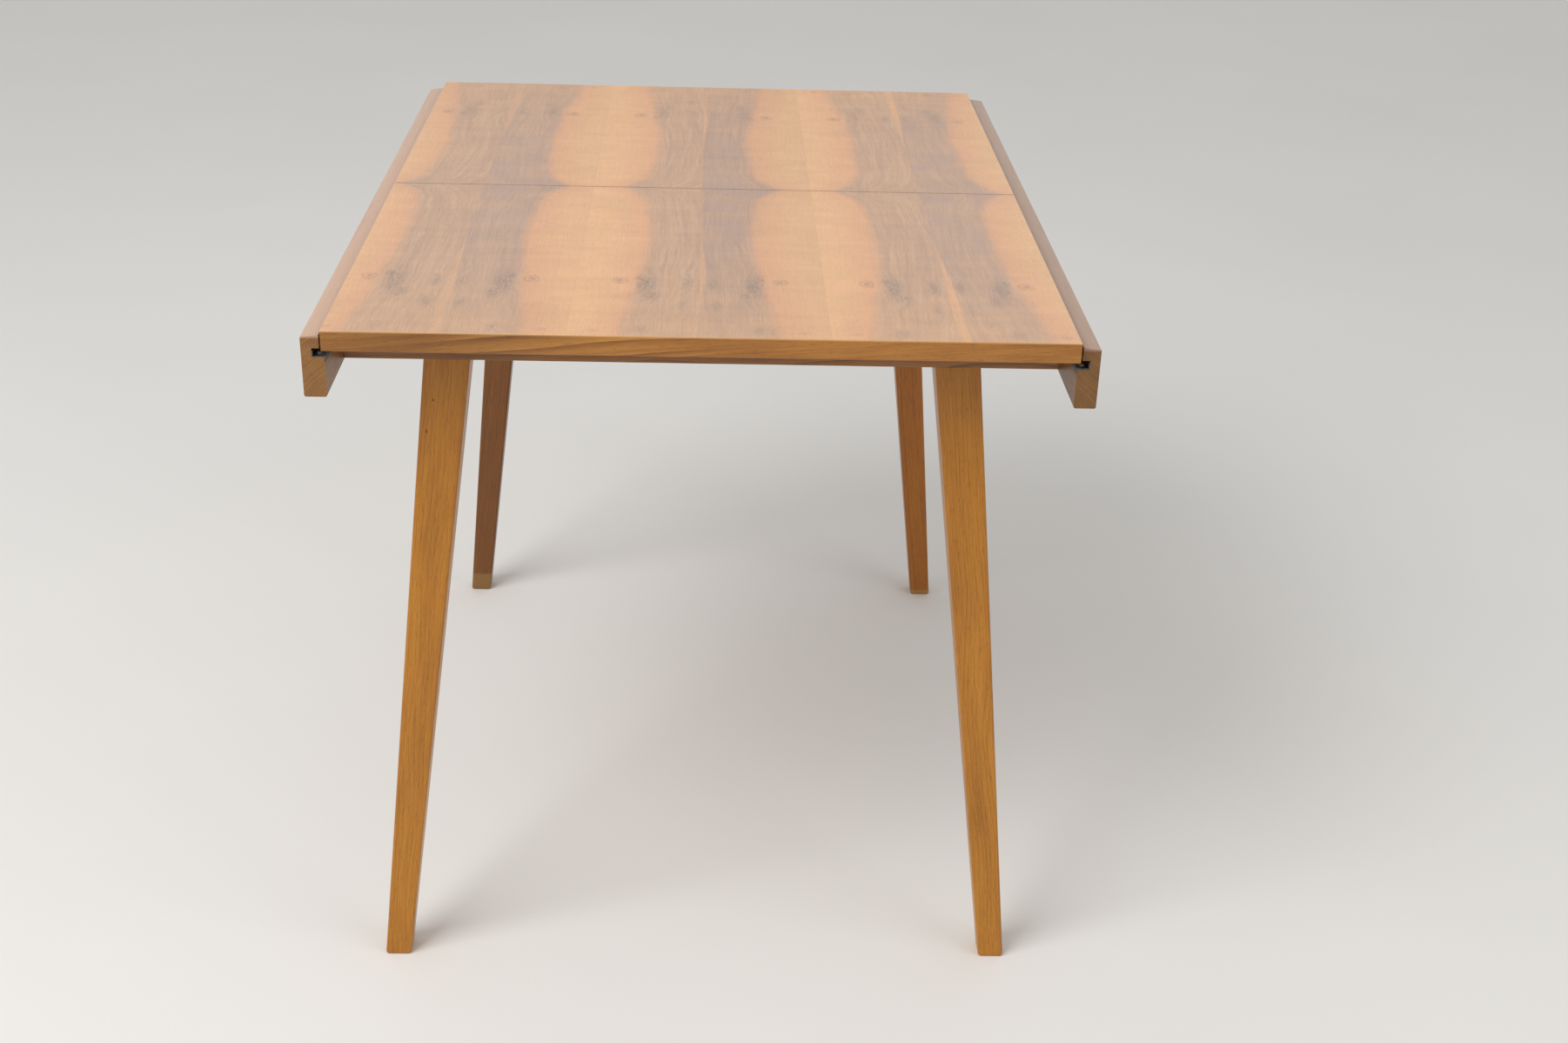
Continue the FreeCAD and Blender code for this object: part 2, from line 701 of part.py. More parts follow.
def frame():
    """Rails, liners, bearers, blocks, legs and their fixings."""
    bolts, washers, nuts, dowels, block_screws, rail_holes, cleats = [], [], [], [], [], [], []
    for end_name, end in ENDS.items():
        bearer_holes = []
        for side_name, side in SIDES.items():
            name = f"{end_name}_{side_name}"
            bolt, washer, nut, pegs, bolt_hole, peg_holes = leg_fixings(end, side, f"{name}_leg")
            bolts.append(bolt)
            washers.append(washer)
            nuts.append(nut)
            dowels += pegs
            leg(end_name, end, side_name, side, [bolt_hole] + peg_holes)
            block = board(f"{name}_leg_block_blank",
                          ("leg_block_wide", "bearer_wide - 2 * leg_block_inset", "block_thick"),
                          (f"{side} * leg_top_x", f"{end} * bearer_y"), "bearer_top")
            # On a narrow table the leg block is notched round the corner block
            notch = board(f"{name}_leg_block_notch",
                          ("corner_block_wide + 2 * block_room", "corner_block_long + 2 * block_room",
                           "block_thick + 2 * overrun"),
                          (f"{side} * corner_block_x", f"{end} * bearer_y"), "bearer_top - overrun")
            keep(cut_by(f"{name}_leg_block_drilled", block, [bolt_hole, notch]), f"{name}_leg_block")
            screws, down_holes, rail_hole = corner_block(end_name, end, side_name, side)
            block_screws += screws
            bearer_holes += [bolt_hole] + peg_holes + down_holes
            if side > 0:
                rail_holes.append(rail_hole)
            cleats.append(board(
                f"{name}_cleat", ("cleat_wide", "cleat_long", "cleat_high"),
                (f"{side} * (insert_half + cleat_side_gap + cleat_wide / 2)", f"{end} * bearer_y"),
                "bearer_top"))
        blank = board(f"{end_name}_bearer_blank", ("bearer_long", "bearer_wide", "bearer_thick"),
                      (0, f"{end} * bearer_y"), "bearer_under")
        keep(cut_by(f"{end_name}_bearer_drilled", blank, bearer_holes), f"{end_name}_bearer")
    middle = board("cross_board", ("bearer_long", "middle_bearer_wide", "bearer_thick"), (0, 0),
                   "bearer_under")
    keep(middle, "middle_bearer")
    keep(group("leg_bolt_set", bolts), "leg_bolts")
    keep(group("leg_washer_set", washers), "leg_washers")
    keep(group("leg_nut_set", nuts), "leg_nuts")
    keep(group("leg_dowel_set", dowels), "leg_dowels")
    keep(group("block_screw_set", block_screws), "corner_block_screws")
    keep(group("cleat_set", cleats), "storage_cleats")
    rails_and_liners(rail_holes, track_pins() + stop_screws())


def top():
    """The two half leaves with their runners, dowels and catches, and the insert leaf."""
    dowel_holes, sockets = seam_dowels()
    pivot_holes, stud_holes = catches()
    leaf("front", ENDS["front"], runners("front", ENDS["front"]) + dowel_holes + pivot_holes)
    leaf("back", ENDS["back"], runners("back", ENDS["back"]) + sockets + stud_holes)
    insert_leaf()


def check():
    """Stop if any feature failed or any piece isn't a sound solid."""
    for thing in doc.Objects:
        if {"Invalid", "Error"} & set(thing.State):
            raise RuntimeError(f"{thing.Name} failed: {thing.State}")
    for thing in pieces:
        if thing.Shape.isNull() or not thing.Shape.isValid() or not thing.Shape.Solids:
            raise RuntimeError(f"{thing.Label} isn't a sound solid")


frame()
top()
doc.recompute()
check()
os.makedirs("parts", exist_ok=True)
for thing in pieces:
    thing.Shape.exportStep(f"parts/{thing.Label}.step")
print(len(pieces), "pieces written")
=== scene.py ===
"""Extending dining table: finishes, fasteners, eased edges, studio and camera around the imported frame.

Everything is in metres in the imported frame: the origin is on the floor under the middle of the closed top,
+X to the right, +Y to the back and +Z up. Sizes and places in the classes are written in millimetres, apart
from the studio's.
"""
from __future__ import annotations

import json
import logging
import math
from collections.abc import Callable, Sequence
from dataclasses import dataclass, replace
from enum import Enum
from typing import Any

import bmesh
import bpy
from mathutils import Matrix, Vector

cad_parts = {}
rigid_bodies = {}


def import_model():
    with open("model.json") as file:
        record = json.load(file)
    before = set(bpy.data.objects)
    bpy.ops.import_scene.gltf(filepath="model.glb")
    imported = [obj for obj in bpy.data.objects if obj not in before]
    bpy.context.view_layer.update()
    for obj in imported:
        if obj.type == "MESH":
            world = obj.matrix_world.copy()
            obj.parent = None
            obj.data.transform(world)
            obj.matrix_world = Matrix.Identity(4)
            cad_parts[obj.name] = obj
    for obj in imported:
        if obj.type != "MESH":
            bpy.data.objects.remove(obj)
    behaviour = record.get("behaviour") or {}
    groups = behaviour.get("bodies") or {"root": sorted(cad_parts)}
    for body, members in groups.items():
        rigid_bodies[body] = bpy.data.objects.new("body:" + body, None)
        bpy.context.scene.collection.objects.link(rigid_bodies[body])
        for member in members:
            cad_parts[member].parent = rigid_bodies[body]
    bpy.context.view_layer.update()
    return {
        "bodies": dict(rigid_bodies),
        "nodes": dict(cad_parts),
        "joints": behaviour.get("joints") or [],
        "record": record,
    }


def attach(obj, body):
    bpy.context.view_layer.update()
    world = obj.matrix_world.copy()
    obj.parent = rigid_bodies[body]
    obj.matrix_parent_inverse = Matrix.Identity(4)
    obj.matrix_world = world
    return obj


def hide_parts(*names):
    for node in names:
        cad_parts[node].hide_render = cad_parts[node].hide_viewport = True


LOG = logging.getLogger("extending_table")

# The two sides or ends of the table, as signs and in words
SIDES = (-1, 1)
SIDE_NAMES = ("left", "right")
# In millimetres: what counts as the same place, which points are merged, and what counts as a sliver
NEAR = 0.02
MERGE = 0.002
SLIVER = 0.004
# Edges blunter than the first angle look smooth, edges blunter than the second are not eased, and faces that
# differ by less than the third are one face
SMOOTH_ANGLE = math.radians(32)
SHARP_ANGLE = math.radians(30)
FLAT_ANGLE = math.radians(0.5)
LACQUER_IOR = 1.5

MATH = "ShaderNodeMath"
VECTOR = "ShaderNodeVectorMath"
MIX = "ShaderNodeMix"
RANGE = "ShaderNodeMapRange"
NOISE = "ShaderNodeTexNoise"
WHITE_NOISE = "ShaderNodeTexWhiteNoise"
RAMP = "ShaderNodeValToRGB"
JOIN = "ShaderNodeCombineXYZ"
SPLIT = "ShaderNodeSeparateXYZ"

Socket = bpy.types.NodeSocket
Tree = bpy.types.NodeTree
Node = bpy.types.Node
Point = tuple[float, float, float]
Colour = tuple[float, float, float, float]
Outline = tuple[tuple[float, float], ...]
Seat = tuple[Point, "Way"]


def linear(colour: str) -> Colour:
    """Turn an sRGB hex colour into linear values.

    Args:
        colour: Six hex digits after a hash sign.

    Returns:
        Linear red, green, blue and an alpha of one.
    """
    parts = [int(colour[place:place + 2], 16) / 255 for place in (1, 3, 5)]
    red, green, blue = (
        part / 12.92 if part <= 0.04045 else ((part + 0.055) / 1.055) ** 2.4 for part in parts
    )
    return red, green, blue, 1.0


def metres(millimetres: float) -> float:
    """Millimetres as metres."""
    return millimetres / 1000


def fill(tree: Tree, node: Node, inputs: dict[Any, Any]) -> None:
    """Set or link the inputs of a node.

    Args:
        tree: The material's or world's node tree.
        node: The node.
        inputs: Input names or numbers, each with a value, a socket, or a node whose first live output counts.
    """
    for key, value in inputs.items():
        if isinstance(value, Node):
            value = next(socket for socket in value.outputs if socket.enabled)
        if isinstance(value, Socket):
            tree.links.new(value, node.inputs[key])
        else:
            node.inputs[key].default_value = value


def add(tree: Tree, kind: str, inputs: dict[Any, Any] | None = None, **settings: Any) -> Node:
    """Add a node with its settings, values and links.

    Args:
        tree: The material's or world's node tree.
        kind: The node's type name.
        inputs: What its inputs are filled with.
        **settings: Properties of the node itself.

    Returns:
        The new node.
    """
    node = tree.nodes.new(kind)
    for name, value in settings.items():
        setattr(node, name, value)
    fill(tree, node, inputs or {})
    return node


def blank_material(name: str) -> tuple[bpy.types.Material, Tree, Node]:
    """A new material with an empty principled shader.

    Args:
        name: What the real material is.

    Returns:
        The material, its node tree and its shader.
    """
    material = bpy.data.materials.new(name)
    material.use_nodes = True
    tree = material.node_tree
    return material, tree, tree.nodes["Principled BSDF"]


def object_millimetres(tree: Tree) -> Node:
    """A node that gives the surface point in the piece's own frame, in millimetres."""
    place = add(tree, "ShaderNodeTexCoord")
    return add(tree, VECTOR, {0: place.outputs["Object"], 1: (1000, 1000, 1000)}, operation="MULTIPLY")


@dataclass(frozen=True)
class Pattern:
    """A natural pattern of soft patches, such as fibres, pores, clouds or rust.

    Attributes:
        sizes: Size of a patch along each axis, in millimetres.
        detail: How many finer layers lie in each patch.
        roughness: How strong the finer layers are.
        distortion: How far the patches swirl.
    """

    sizes: Point
    detail: float = 2.0
    roughness: float = 0.5
    distortion: float = 0.0


def lay_patterns(tree: Tree, place: Node, patterns: dict[str, Pattern]) -> dict[str, Node]:
    """Lay the patterns of a finish over its surface.

    Args:
        tree: The material's node tree.
        place: The surface point in millimetres.
        patterns: The patterns by name.

    Returns:
        The level of each pattern by name, about one half on the whole.
    """
    drawn = {}
    for name, pattern in patterns.items():
        shrunk = add(tree, VECTOR, {0: place, 1: [1 / size for size in pattern.sizes]}, operation="MULTIPLY")
        drawn[name] = add(tree, NOISE, {"Vector": shrunk, "Scale": 1.0, "Detail": pattern.detail,
                                        "Roughness": pattern.roughness, "Distortion": pattern.distortion})
    return drawn


def shaded(tree: Tree, colour: Node, factor: Node) -> Node:
    """A colour whose red, green and blue are multiplied by a factor."""
    grey = add(tree, JOIN, {0: factor, 1: factor, 2: factor})
    return add(tree, VECTOR, {0: colour, 1: grey}, operation="MULTIPLY")


def finish_shader(tree: Tree, shader: Node, inputs: dict[str, Any], relief: Node, strength: float,
                  height: float) -> None:
    """Fill a shader's inputs and give it a fine relief, whose height is in millimetres."""
    bump = add(tree, "ShaderNodeBump", {"Height": relief, "Strength": strength, "Distance": metres(height)})
    fill(tree, shader, {**inputs, "Normal": bump})


def set_stops(ramp: Node, stops: Sequence[tuple[float, Colour]]) -> None:
    """Set the places and colours of a colour ramp.

    Args:
        ramp: The ramp's node, with its first and last step.
        stops: Each place from 0 to 1, with its colour.
    """
    steps = ramp.color_ramp.elements
    for position, _ in stops[1:-1]:
        steps.new(position)
    for step, (position, colour) in zip(steps, stops):
        step.position = position
        step.color = colour


# How light the wood is over a year's growth, from spring to spring, and how far years differ in width
YEAR_LEVELS = ((0.0, 0.85), (0.35, 0.62), (0.78, 0.18), (0.9, 0.1), (1.0, 0.85))
YEAR_SPREAD = 1.6


class Grain(Enum):
    """Which way the fibres of a solid wood piece run."""

    ACROSS = "x"
    LENGTHWISE = "y"
    LEG = "leg"


@dataclass(frozen=True)
class LegLean:
    """How the legs lean: where the feet stand and how far the tops come in.

    Attributes:
        foot: The foot's middle across and along the table, in millimetres.
        shift: How far the top comes in from the foot each way.
        height: The leg's height.
        apart: How far the cuts of the tree lie from each other for the two sides and the two ends.
    """

    foot: tuple[float, float] = (335.0, 438.5)
    shift: tuple[float, float] = (77.0, 74.0)
    height: float = 693.0
    apart: tuple[float, float] = (1700.0, 3100.0)


@dataclass(frozen=True)
class SolidWood:
    """Sawn and planed solid wood: growth rings round a distant heart, fibres, pores and slow colour drift.

    Attributes:
        name: The wood and how its surface was made.
        dark, middle, light: Colours of late wood, the body and early wood.
        grain: Which way the fibres run.
        heart: Where the tree's heart lies across the fibres, in millimetres.
        ring: Growth ring width in millimetres.
        ring_share, fibre_share, drift_share: How much contrast the rings, the fibres and the drift give.
        pore: How strongly the pores are drawn, from 0 to 1.
        roughness: Roughness of the finish.
        gloss: How much the roughness swings from fibre to fibre.
        swing: How far the rings wander, in millimetres.
        swing_long: Over what length they wander.
        slope: How far the fibres climb for each millimetre along a cross piece.
        calm: Four places across the table, between which the rings set in and fade out again, or nothing.
        calm_levels: How strong the rings are before the first place and after the last.
        worn: Colour of rubbed wood, and the heights between which it sets in, or nothing.
        worn_share: How much of the rubbed colour shows where it is strongest.
        fade: How brightness changes along an axis of the table, which on the rails and legs is painted shade:
            the axis, two places and two factors.
        dents: Small bruises dark with old dirt, as places and half sizes in millimetres.
        dent_fray: How far the fibres fray the bruises' edges.
        dirt: Colour of the dirt.
        lean: How the legs lean, for wood whose fibres follow a leg.
    """

    name: str
    dark: str
    middle: str
    light: str
    grain: Grain
    heart: tuple[float, float] = (90.0, 60.0)
    ring: float = 3.2
    ring_share: float = 0.5
    fibre_share: float = 0.62
    drift_share: float = 0.35
    pore: float = 0.5
    roughness: float = 0.42
    gloss: float = 0.06
    swing: float = 34.0
    swing_long: float = 260.0
    slope: float = 0.0
    calm: tuple[float, float, float, float] | None = None
    calm_levels: tuple[float, float] = (0.3, 0.2)
    worn: tuple[str, float, float] | None = None
    worn_share: float = 0.75
    fade: tuple[str, float, float, float, float] | None = None
    dents: tuple[tuple[Point, Point], ...] = ()
    dent_fray: float = 0.8
    dirt: str = "#3A2008"
    lean: LegLean = LegLean()

    def fibre_frame(self, tree: Tree, point: Node) -> Node:
        """The surface point with the fibres along its third axis.

        Args:
            tree: The material's node tree.
            point: The surface point, split into its three values.

        Returns:
            A node that gives two millimetre values across the fibres and one along them.
        """
        x, y, z = (point.outputs[axis] for axis in "XYZ")
        if self.grain is Grain.ACROSS:
            climb = add(tree, MATH, {0: x, 1: -self.slope, 2: z}, operation="MULTIPLY_ADD")
            return add(tree, JOIN, {0: y, 1: climb, 2: x})
        if self.grain is Grain.LENGTHWISE:
            return add(tree, JOIN, {0: x, 1: z, 2: y})
        # The four legs lean outwards alike, so one mirrored and straightened frame serves all of them. The
        # sign of each side is added along the fibres, so that no two legs show the same cut of the tree.
        straight = []
        cut = z
        for value, foot, shift, apart in zip((x, y), self.lean.foot, self.lean.shift, self.lean.apart):
            size = add(tree, MATH, {0: value}, operation="ABSOLUTE")
            rise = add(tree, MATH, {0: z, 1: shift / self.lean.height, 2: size}, operation="MULTIPLY_ADD")
            straight.append(add(tree, MATH, {0: rise, 1: foot}, operation="SUBTRACT"))
            sign = add(tree, MATH, {0: value}, operation="SIGN")
            cut = add(tree, MATH, {0: sign, 1: apart, 2: cut}, operation="MULTIPLY_ADD")
        return add(tree, JOIN, {0: straight[0], 1: straight[1], 2: cut})

    def rings(self, tree: Tree, point: Node, frame: Node, wander: Node) -> Node:
        """Growth rings, which swing into arches on a flat-sawn face.

        Args:
            tree: The material's node tree.
            point: The surface point, split into its three values.
            frame: The surface point with the fibres along its third axis.
            wander: The slow wander of the rings.

        Returns:
            How light the ring is, about zero on the whole.
        """
        away = add(tree, VECTOR, {0: frame, 1: (*self.heart, 0.0)}, operation="SUBTRACT")
        flat = add(tree, VECTOR, {0: away, 1: (1.0, 1.0, 0.0)}, operation="MULTIPLY")
        radius = add(tree, VECTOR, {0: flat}, operation="LENGTH")
        swung = add(tree, MATH, {0: wander, 1: self.swing, 2: radius}, operation="MULTIPLY_ADD")
        turns = add(tree, MATH, {0: swung, 1: self.ring}, operation="DIVIDE")
        # Ring widths vary from year to year
        years = add(tree, NOISE, {"W": turns, "Scale": 0.7, "Detail": 1.0}, noise_dimensions="1D")
        turns = add(tree, MATH, {0: years, 1: YEAR_SPREAD, 2: turns}, operation="MULTIPLY_ADD")
        year = add(tree, MATH, {0: turns}, operation="FRACT")
        ring = add(tree, RAMP, {0: year})
        set_stops(ring, [(position, (level, level, level, 1.0)) for position, level in YEAR_LEVELS])
        rings = add(tree, MATH, {0: ring, 1: 0.5}, operation="SUBTRACT")
        if self.calm:
            before, after = self.calm_levels
            for start, end, first, last in ((*self.calm[:2], before, 1.0), (*self.calm[2:], 1.0, after)):
                lively = add(tree, RANGE, {"Value": point.outputs["X"], "From Min": start, "From Max": end,
                                           "To Min": first, "To Max": last})
                rings = add(tree, MATH, {0: rings, 1: lively}, operation="MULTIPLY")
        return rings

    def wear_and_shade(self, tree: Tree, point: Node, colour: Node, drawn: dict[str, Node]) -> Node:
        """Rub and bruise the surface, and change its brightness along an axis, which on the rails and legs is
        painted shade.

        Args:
            tree: The material's node tree.
            point: The surface point, split into its three values.
            colour: Colour of the new surface.
            drawn: The wood's patterns.

        Returns:
            Colour of the old surface, with its painted shade.
        """
        if self.worn:
            bare, low, high = self.worn
            span = high - low
            ragged = add(tree, MATH, {0: drawn["drift"], 1: span, 2: point.outputs["Z"]},
                         operation="MULTIPLY_ADD")
            rubbed = add(tree, RANGE, {"Value": ragged, "From Min": low + span / 2,
                                       "From Max": high + span / 2, "To Max": self.worn_share})
            colour = add(tree, MIX, {0: rubbed, 6: colour, 7: linear(bare)}, data_type="RGBA")
        if self.fade:
            axis, start, end, first, last = self.fade
            factor = add(tree, RANGE, {"Value": point.outputs[axis], "From Min": start, "From Max": end,
                                       "To Min": first, "To Max": last})
            colour = shaded(tree, colour, factor)
        for middle, half in self.dents:
            away = add(tree, VECTOR, {0: object_millimetres(tree), 1: middle}, operation="SUBTRACT")
            away = add(tree, VECTOR, {0: away, 1: half}, operation="DIVIDE")
            away = add(tree, VECTOR, {0: away}, operation="LENGTH")
            away = add(tree, MATH, {0: drawn["fibre"], 1: self.dent_fray, 2: away}, operation="MULTIPLY_ADD")
            bruise = add(tree, RANGE, {"Value": away, "From Min": 0.7, "From Max": 1.6, "To Min": 0.7,
                                       "To Max": 0.0}, interpolation_type="SMOOTHSTEP")
            colour = add(tree, MIX, {0: bruise, 6: colour, 7: linear(self.dirt)}, data_type="RGBA")
        return colour

    def material(self) -> bpy.types.Material:
        """Build the node material.

        Returns:
            The finished material.
        """
        material, tree, shader = blank_material(self.name)
        point = add(tree, SPLIT, {0: object_millimetres(tree)})
        frame = self.fibre_frame(tree, point)
        # Fibres and pores are drawn coarser than real ones, which would not show
        drawn = lay_patterns(tree, frame, {
            "wander": Pattern((45.0, 45.0, self.swing_long), roughness=0.45),
            "fibre": Pattern((0.9, 0.9, 40.0), detail=3.0, roughness=0.6),
            "drift": Pattern((28.0, 28.0, 170.0)),
            "pores": Pattern((0.7, 0.7, 9.0), detail=1.0),
        })
        rings = self.rings(tree, point, frame, drawn["wander"])
        level = add(tree, MATH, {0: rings, 1: self.ring_share, 2: 0.5}, operation="MULTIPLY_ADD")
        for name, share in (("fibre", self.fibre_share), ("drift", self.drift_share)):
            level = add(tree, MATH, {0: drawn[name], 1: share, 2: level}, operation="MULTIPLY_ADD")
        surplus = (self.fibre_share + self.drift_share) / 2
        level = add(tree, MATH, {0: level, 1: surplus}, operation="SUBTRACT")
        colour = add(tree, RAMP, {0: level})
        shades = ((0.12, self.dark), (0.5, self.middle), (0.88, self.light))
        set_stops(colour, [(position, linear(shade)) for position, shade in shades])
        # Pores are short dark dashes along the fibres
        dash = add(tree, RANGE, {"Value": drawn["pores"], "From Min": 0.58, "From Max": 0.72,
                                 "To Max": self.pore}, interpolation_type="SMOOTHSTEP")
        colour = add(tree, MIX, {0: dash, 6: colour, 7: linear(self.dark)}, data_type="RGBA",
                     blend_type="MULTIPLY")
        colour = self.wear_and_shade(tree, point, colour, drawn)
        sheen = add(tree, RANGE, {"Value": drawn["fibre"], "From Min": 0.3, "From Max": 0.7,
                                  "To Min": self.roughness + self.gloss,
                                  "To Max": self.roughness - self.gloss})
        relief = add(tree, MATH, {0: drawn["fibre"], 1: dash}, operation="SUBTRACT")
        finish_shader(tree, shader, {"Base Color": colour, "Roughness": sheen, "IOR": LACQUER_IOR}, relief,
                      strength=0.12, height=0.15)
        return material


@dataclass(frozen=True)
class Mark:
    """A flaw in the veneer, repeated by the book match.

    Attributes:
        across: Distance from the pale joint, in millimetres.
        along: Distance from the seam of the table.
        wide, long: Half sizes of the mark.
        strength: How dark it is, from 0 to 1.
    """

    across: float
    along: float
    wide: float
    long: float
    strength: float

    def away(self, tree: Tree, leaf: Node) -> Node:
        """How far a point lies from the mark's middle.

        Args:
            tree: The material's node tree.
            leaf: The point in its leaf of veneer.

        Returns:
            The distance, which is one at the mark's edge.
        """
        away = add(tree, VECTOR, {0: leaf, 1: (self.across, self.along, 0.0)}, operation="SUBTRACT")
        away = add(tree, VECTOR, {0: away, 1: (1 / self.wide, 1 / self.long, 0.0)}, operation="MULTIPLY")
        return add(tree, VECTOR, {0: away}, operation="LENGTH")


@dataclass(frozen=True)
class VeneerPlace:
    """Where a point of the surface lies in the book match.

    Attributes:
        tree: The material's node tree.
        across, along: How far it lies across the table, and how far from the seam.
        side: Minus one on the front half leaf, and one on the back one.
        strip: Number of the strip of veneer.
        odd: One on strips that show the other face of the veneer, or else zero.
        sheet: How far the strip's pattern has drifted from the first one.
        from_joint, from_heart: Distance from the nearest pale joint, and from the nearest brown one.
        leaf: The point in its leaf of veneer, mirrored at each joint.
    """

    tree: Tree
    across: Socket
    along: Node
    side: Node
    strip: Node
    odd: Node
    sheet: Node
    from_joint: Node
    from_heart: Node
    leaf: Node


# Patterns of the face veneer, across and along the fibres. The third size is in leaves of the log. Fibres and
# pores are drawn coarser than real ones, which would not show.
VENEER_PATTERNS = {
    "slow": Pattern((70.0, 62.0, 1.0)),
    "fray": Pattern((3.4, 70.0, 1.0), detail=3.0, roughness=0.6),
    "cool": Pattern((53.85, 47.7, 0.77), detail=1.0),
    "fibre": Pattern((1.0, 45.0, 1 / 3), detail=3.0, roughness=0.65),
    "pores": Pattern((0.8, 11.0, 1 / 5), detail=1.0),
    "cloud": Pattern((50.0, 30.0, 1 / 7)),
    "ripple": Pattern((90.0, 14.0, 1.0), detail=1.0),
    "swirl": Pattern((7.0, 9.0, 1 / 6), detail=3.0, roughness=0.6),
    "veins": Pattern((6.0, 15.0, 1 / 2), detail=6.0, roughness=0.72, distortion=1.2),
    "blots": Pattern((2.4, 8.0, 1 / 4), detail=5.0, roughness=0.75),
}
GROWTH_LINES = {"lines": Pattern((5.5, 190.0, 1.0), detail=5.0, roughness=0.74, distortion=0.25)}


@dataclass(frozen=True)
class BookMatchedWalnut:
    """Book-matched walnut face veneer under satin lacquer.

    Consecutive leaves of one log are opened like a book, so every strip mirrors its neighbour: pale sapwood
    meets sapwood at one joint and brown heartwood meets heartwood at the next. To the eye that is a row of
    pale, waisted tongues on brown, with the same knots and grey cracks in every strip.

    Attributes:
        name: The wood and how its surface was made.
        turned: Whether the fibres run across the table, as on the stored insert leaf.
        strip: Width of one strip of veneer in millimetres.
        joint: Where a pale joint lies across the leaf.
        strip_drift, half_drift: How far the pattern drifts from strip to strip, and between the half leaves.
        reach: Length of a half leaf, over which the sapwood's width is drawn.
        sap_widths: Half widths of the pale tongues, as pairs of distance from the seam and width.
        sap_wander, sap_fray: How far the sapwood's edge wanders and frays.
        narrowing: Distances from the middle between which the tongues get narrower, and by how much.
        sap_pale, sap_deep: Colours of the sapwood, in its middle and at its edge.
        heart_light, heart_middle, heart_dark: Colours of the heartwood's growth lines.
        heart_cool, heart_warm: Tints of the veneer's other face, and of the outer end.
        line_gap: Distance between the fine lines in the heartwood.
        line_bend, line_wander, line_fray: How far the lines bend round a flaw, wander and fray.
        wedge: Colour of the tongues where heartwood meets heartwood.
        wedge_fray: How far their edges fray.
        ink, knot, grime, bare: Colours of cracks, knots, painted shade in the seam and wood without lacquer.
        rubbed: Distances from the outer end, between which the lacquer is rubbed thin.
        roughness: Roughness of the lacquer.
        gloss: How much the roughness swings from fibre to fibre, each way.
        cracks, knots: Where they lie.
        eye_share, rim_share: How much of the knots' colour shows in their eyes and rims.
        knot_pull: How far the knots are pulled out of round.
        crack_spread: How far the cracks spread in a flawed place.
        line_share, patch_share, haze_share: How dark the cracks' lines, the wood between them and the smoky
            patch are.
        crack_share: How much of the ink shows in all but the patch.
        back_share: How dark the back half leaf's cracks are beside the front one's.
    """

    name: str = "Book-matched walnut veneer, satin lacquer"
    turned: bool = False
    strip: float = 126.5
    joint: float = -131.25
    strip_drift: float = 0.37
    half_drift: float = 0.16
    reach: float = 490.0
    sap_widths: tuple[tuple[float, float], ...] = (
        (0, 36), (10, 43), (26, 55), (45, 63), (80, 67),
        (120, 69), (230, 70), (315, 64), (396, 57), (490, 48),
    )
    sap_wander: float = 13.0
    sap_fray: float = 9.0
    narrowing: Point = (116.0, 136.0, -9.0)
    sap_pale: str = "#DBA366"
    sap_deep: str = "#D3925D"
    heart_light: str = "#C79A6D"
    heart_middle: str = "#B98B63"
    heart_dark: str = "#AA7D5A"
    heart_cool: str = "#A5806A"
    heart_warm: str = "#CC9660"
    line_gap: float = 4.2
    line_bend: float = 12.0
    line_wander: float = 16.0
    line_fray: float = 3.0
    wedge: str = "#E0A062"
    wedge_fray: float = 3.0
    ink: str = "#604C3E"
    knot: str = "#7C4E32"
    seam_shade: str = "#6B4426"
    bare: str = "#E3BC8A"
    rubbed: tuple[float, float] = (1.6, 0.5)
    roughness: float = 0.27
    gloss: tuple[float, float] = (0.04, 0.03)
    cracks: tuple[Mark, ...] = (
        Mark(72, 344, 13, 44, 1.0),
        Mark(66, 322, 7, 16, 1.0),
        Mark(80, 374, 9, 24, 0.9),
        Mark(113, 338, 7, 22, 0.85),
        Mark(110, 404, 6, 24, 0.75),
        Mark(70, 472, 10, 13, 0.7),
        Mark(56, 476, 6, 10, 0.5),
        Mark(97, 446, 4, 12, 0.4),
        Mark(58, 10, 9, 24, 0.5),
        Mark(56, 48, 6, 20, 0.35),
    )
    knots: tuple[Mark, ...] = (Mark(44.5, 330, 7.0, 8.5, 1.0), Mark(25, 476, 5.0, 4.0, 0.6))
    eye_share: float = 0.55
    rim_share: float = 0.4
    knot_pull: float = 1.5
    crack_spread: float = 0.26
    line_share: float = 0.8
    patch_share: float = 0.12
    haze_share: float = 0.1
    crack_share: float = 0.8
    back_share: float = 0.6

    def place(self, tree: Tree) -> VeneerPlace:
        """Find the surface point in the book match.

        Args:
            tree: The material's node tree.

        Returns:
            Its place.
        """
        point = add(tree, SPLIT, {0: object_millimetres(tree)})
        if self.turned:
            across = point.outputs["Y"]
            along = add(tree, MATH, {0: point.outputs["X"], 1: self.reach / 2}, operation="ADD")
        else:
            across = point.outputs["X"]
            along = add(tree, MATH, {0: point.outputs["Y"]}, operation="ABSOLUTE")
        side = add(tree, MATH, {0: point.outputs["Y"]}, operation="SIGN")
        moved = add(tree, MATH, {0: across, 1: self.joint}, operation="SUBTRACT")
        from_joint = add(tree, MATH, {0: moved, 1: self.strip}, operation="PINGPONG")
        from_heart = add(tree, MATH, {0: self.strip, 1: from_joint}, operation="SUBTRACT")
        count = add(tree, MATH, {0: moved, 1: self.strip}, operation="DIVIDE")
        strip = add(tree, MATH, {0: count}, operation="FLOOR")
        odd = add(tree, MATH, {0: strip, 1: 1.0}, operation="PINGPONG")
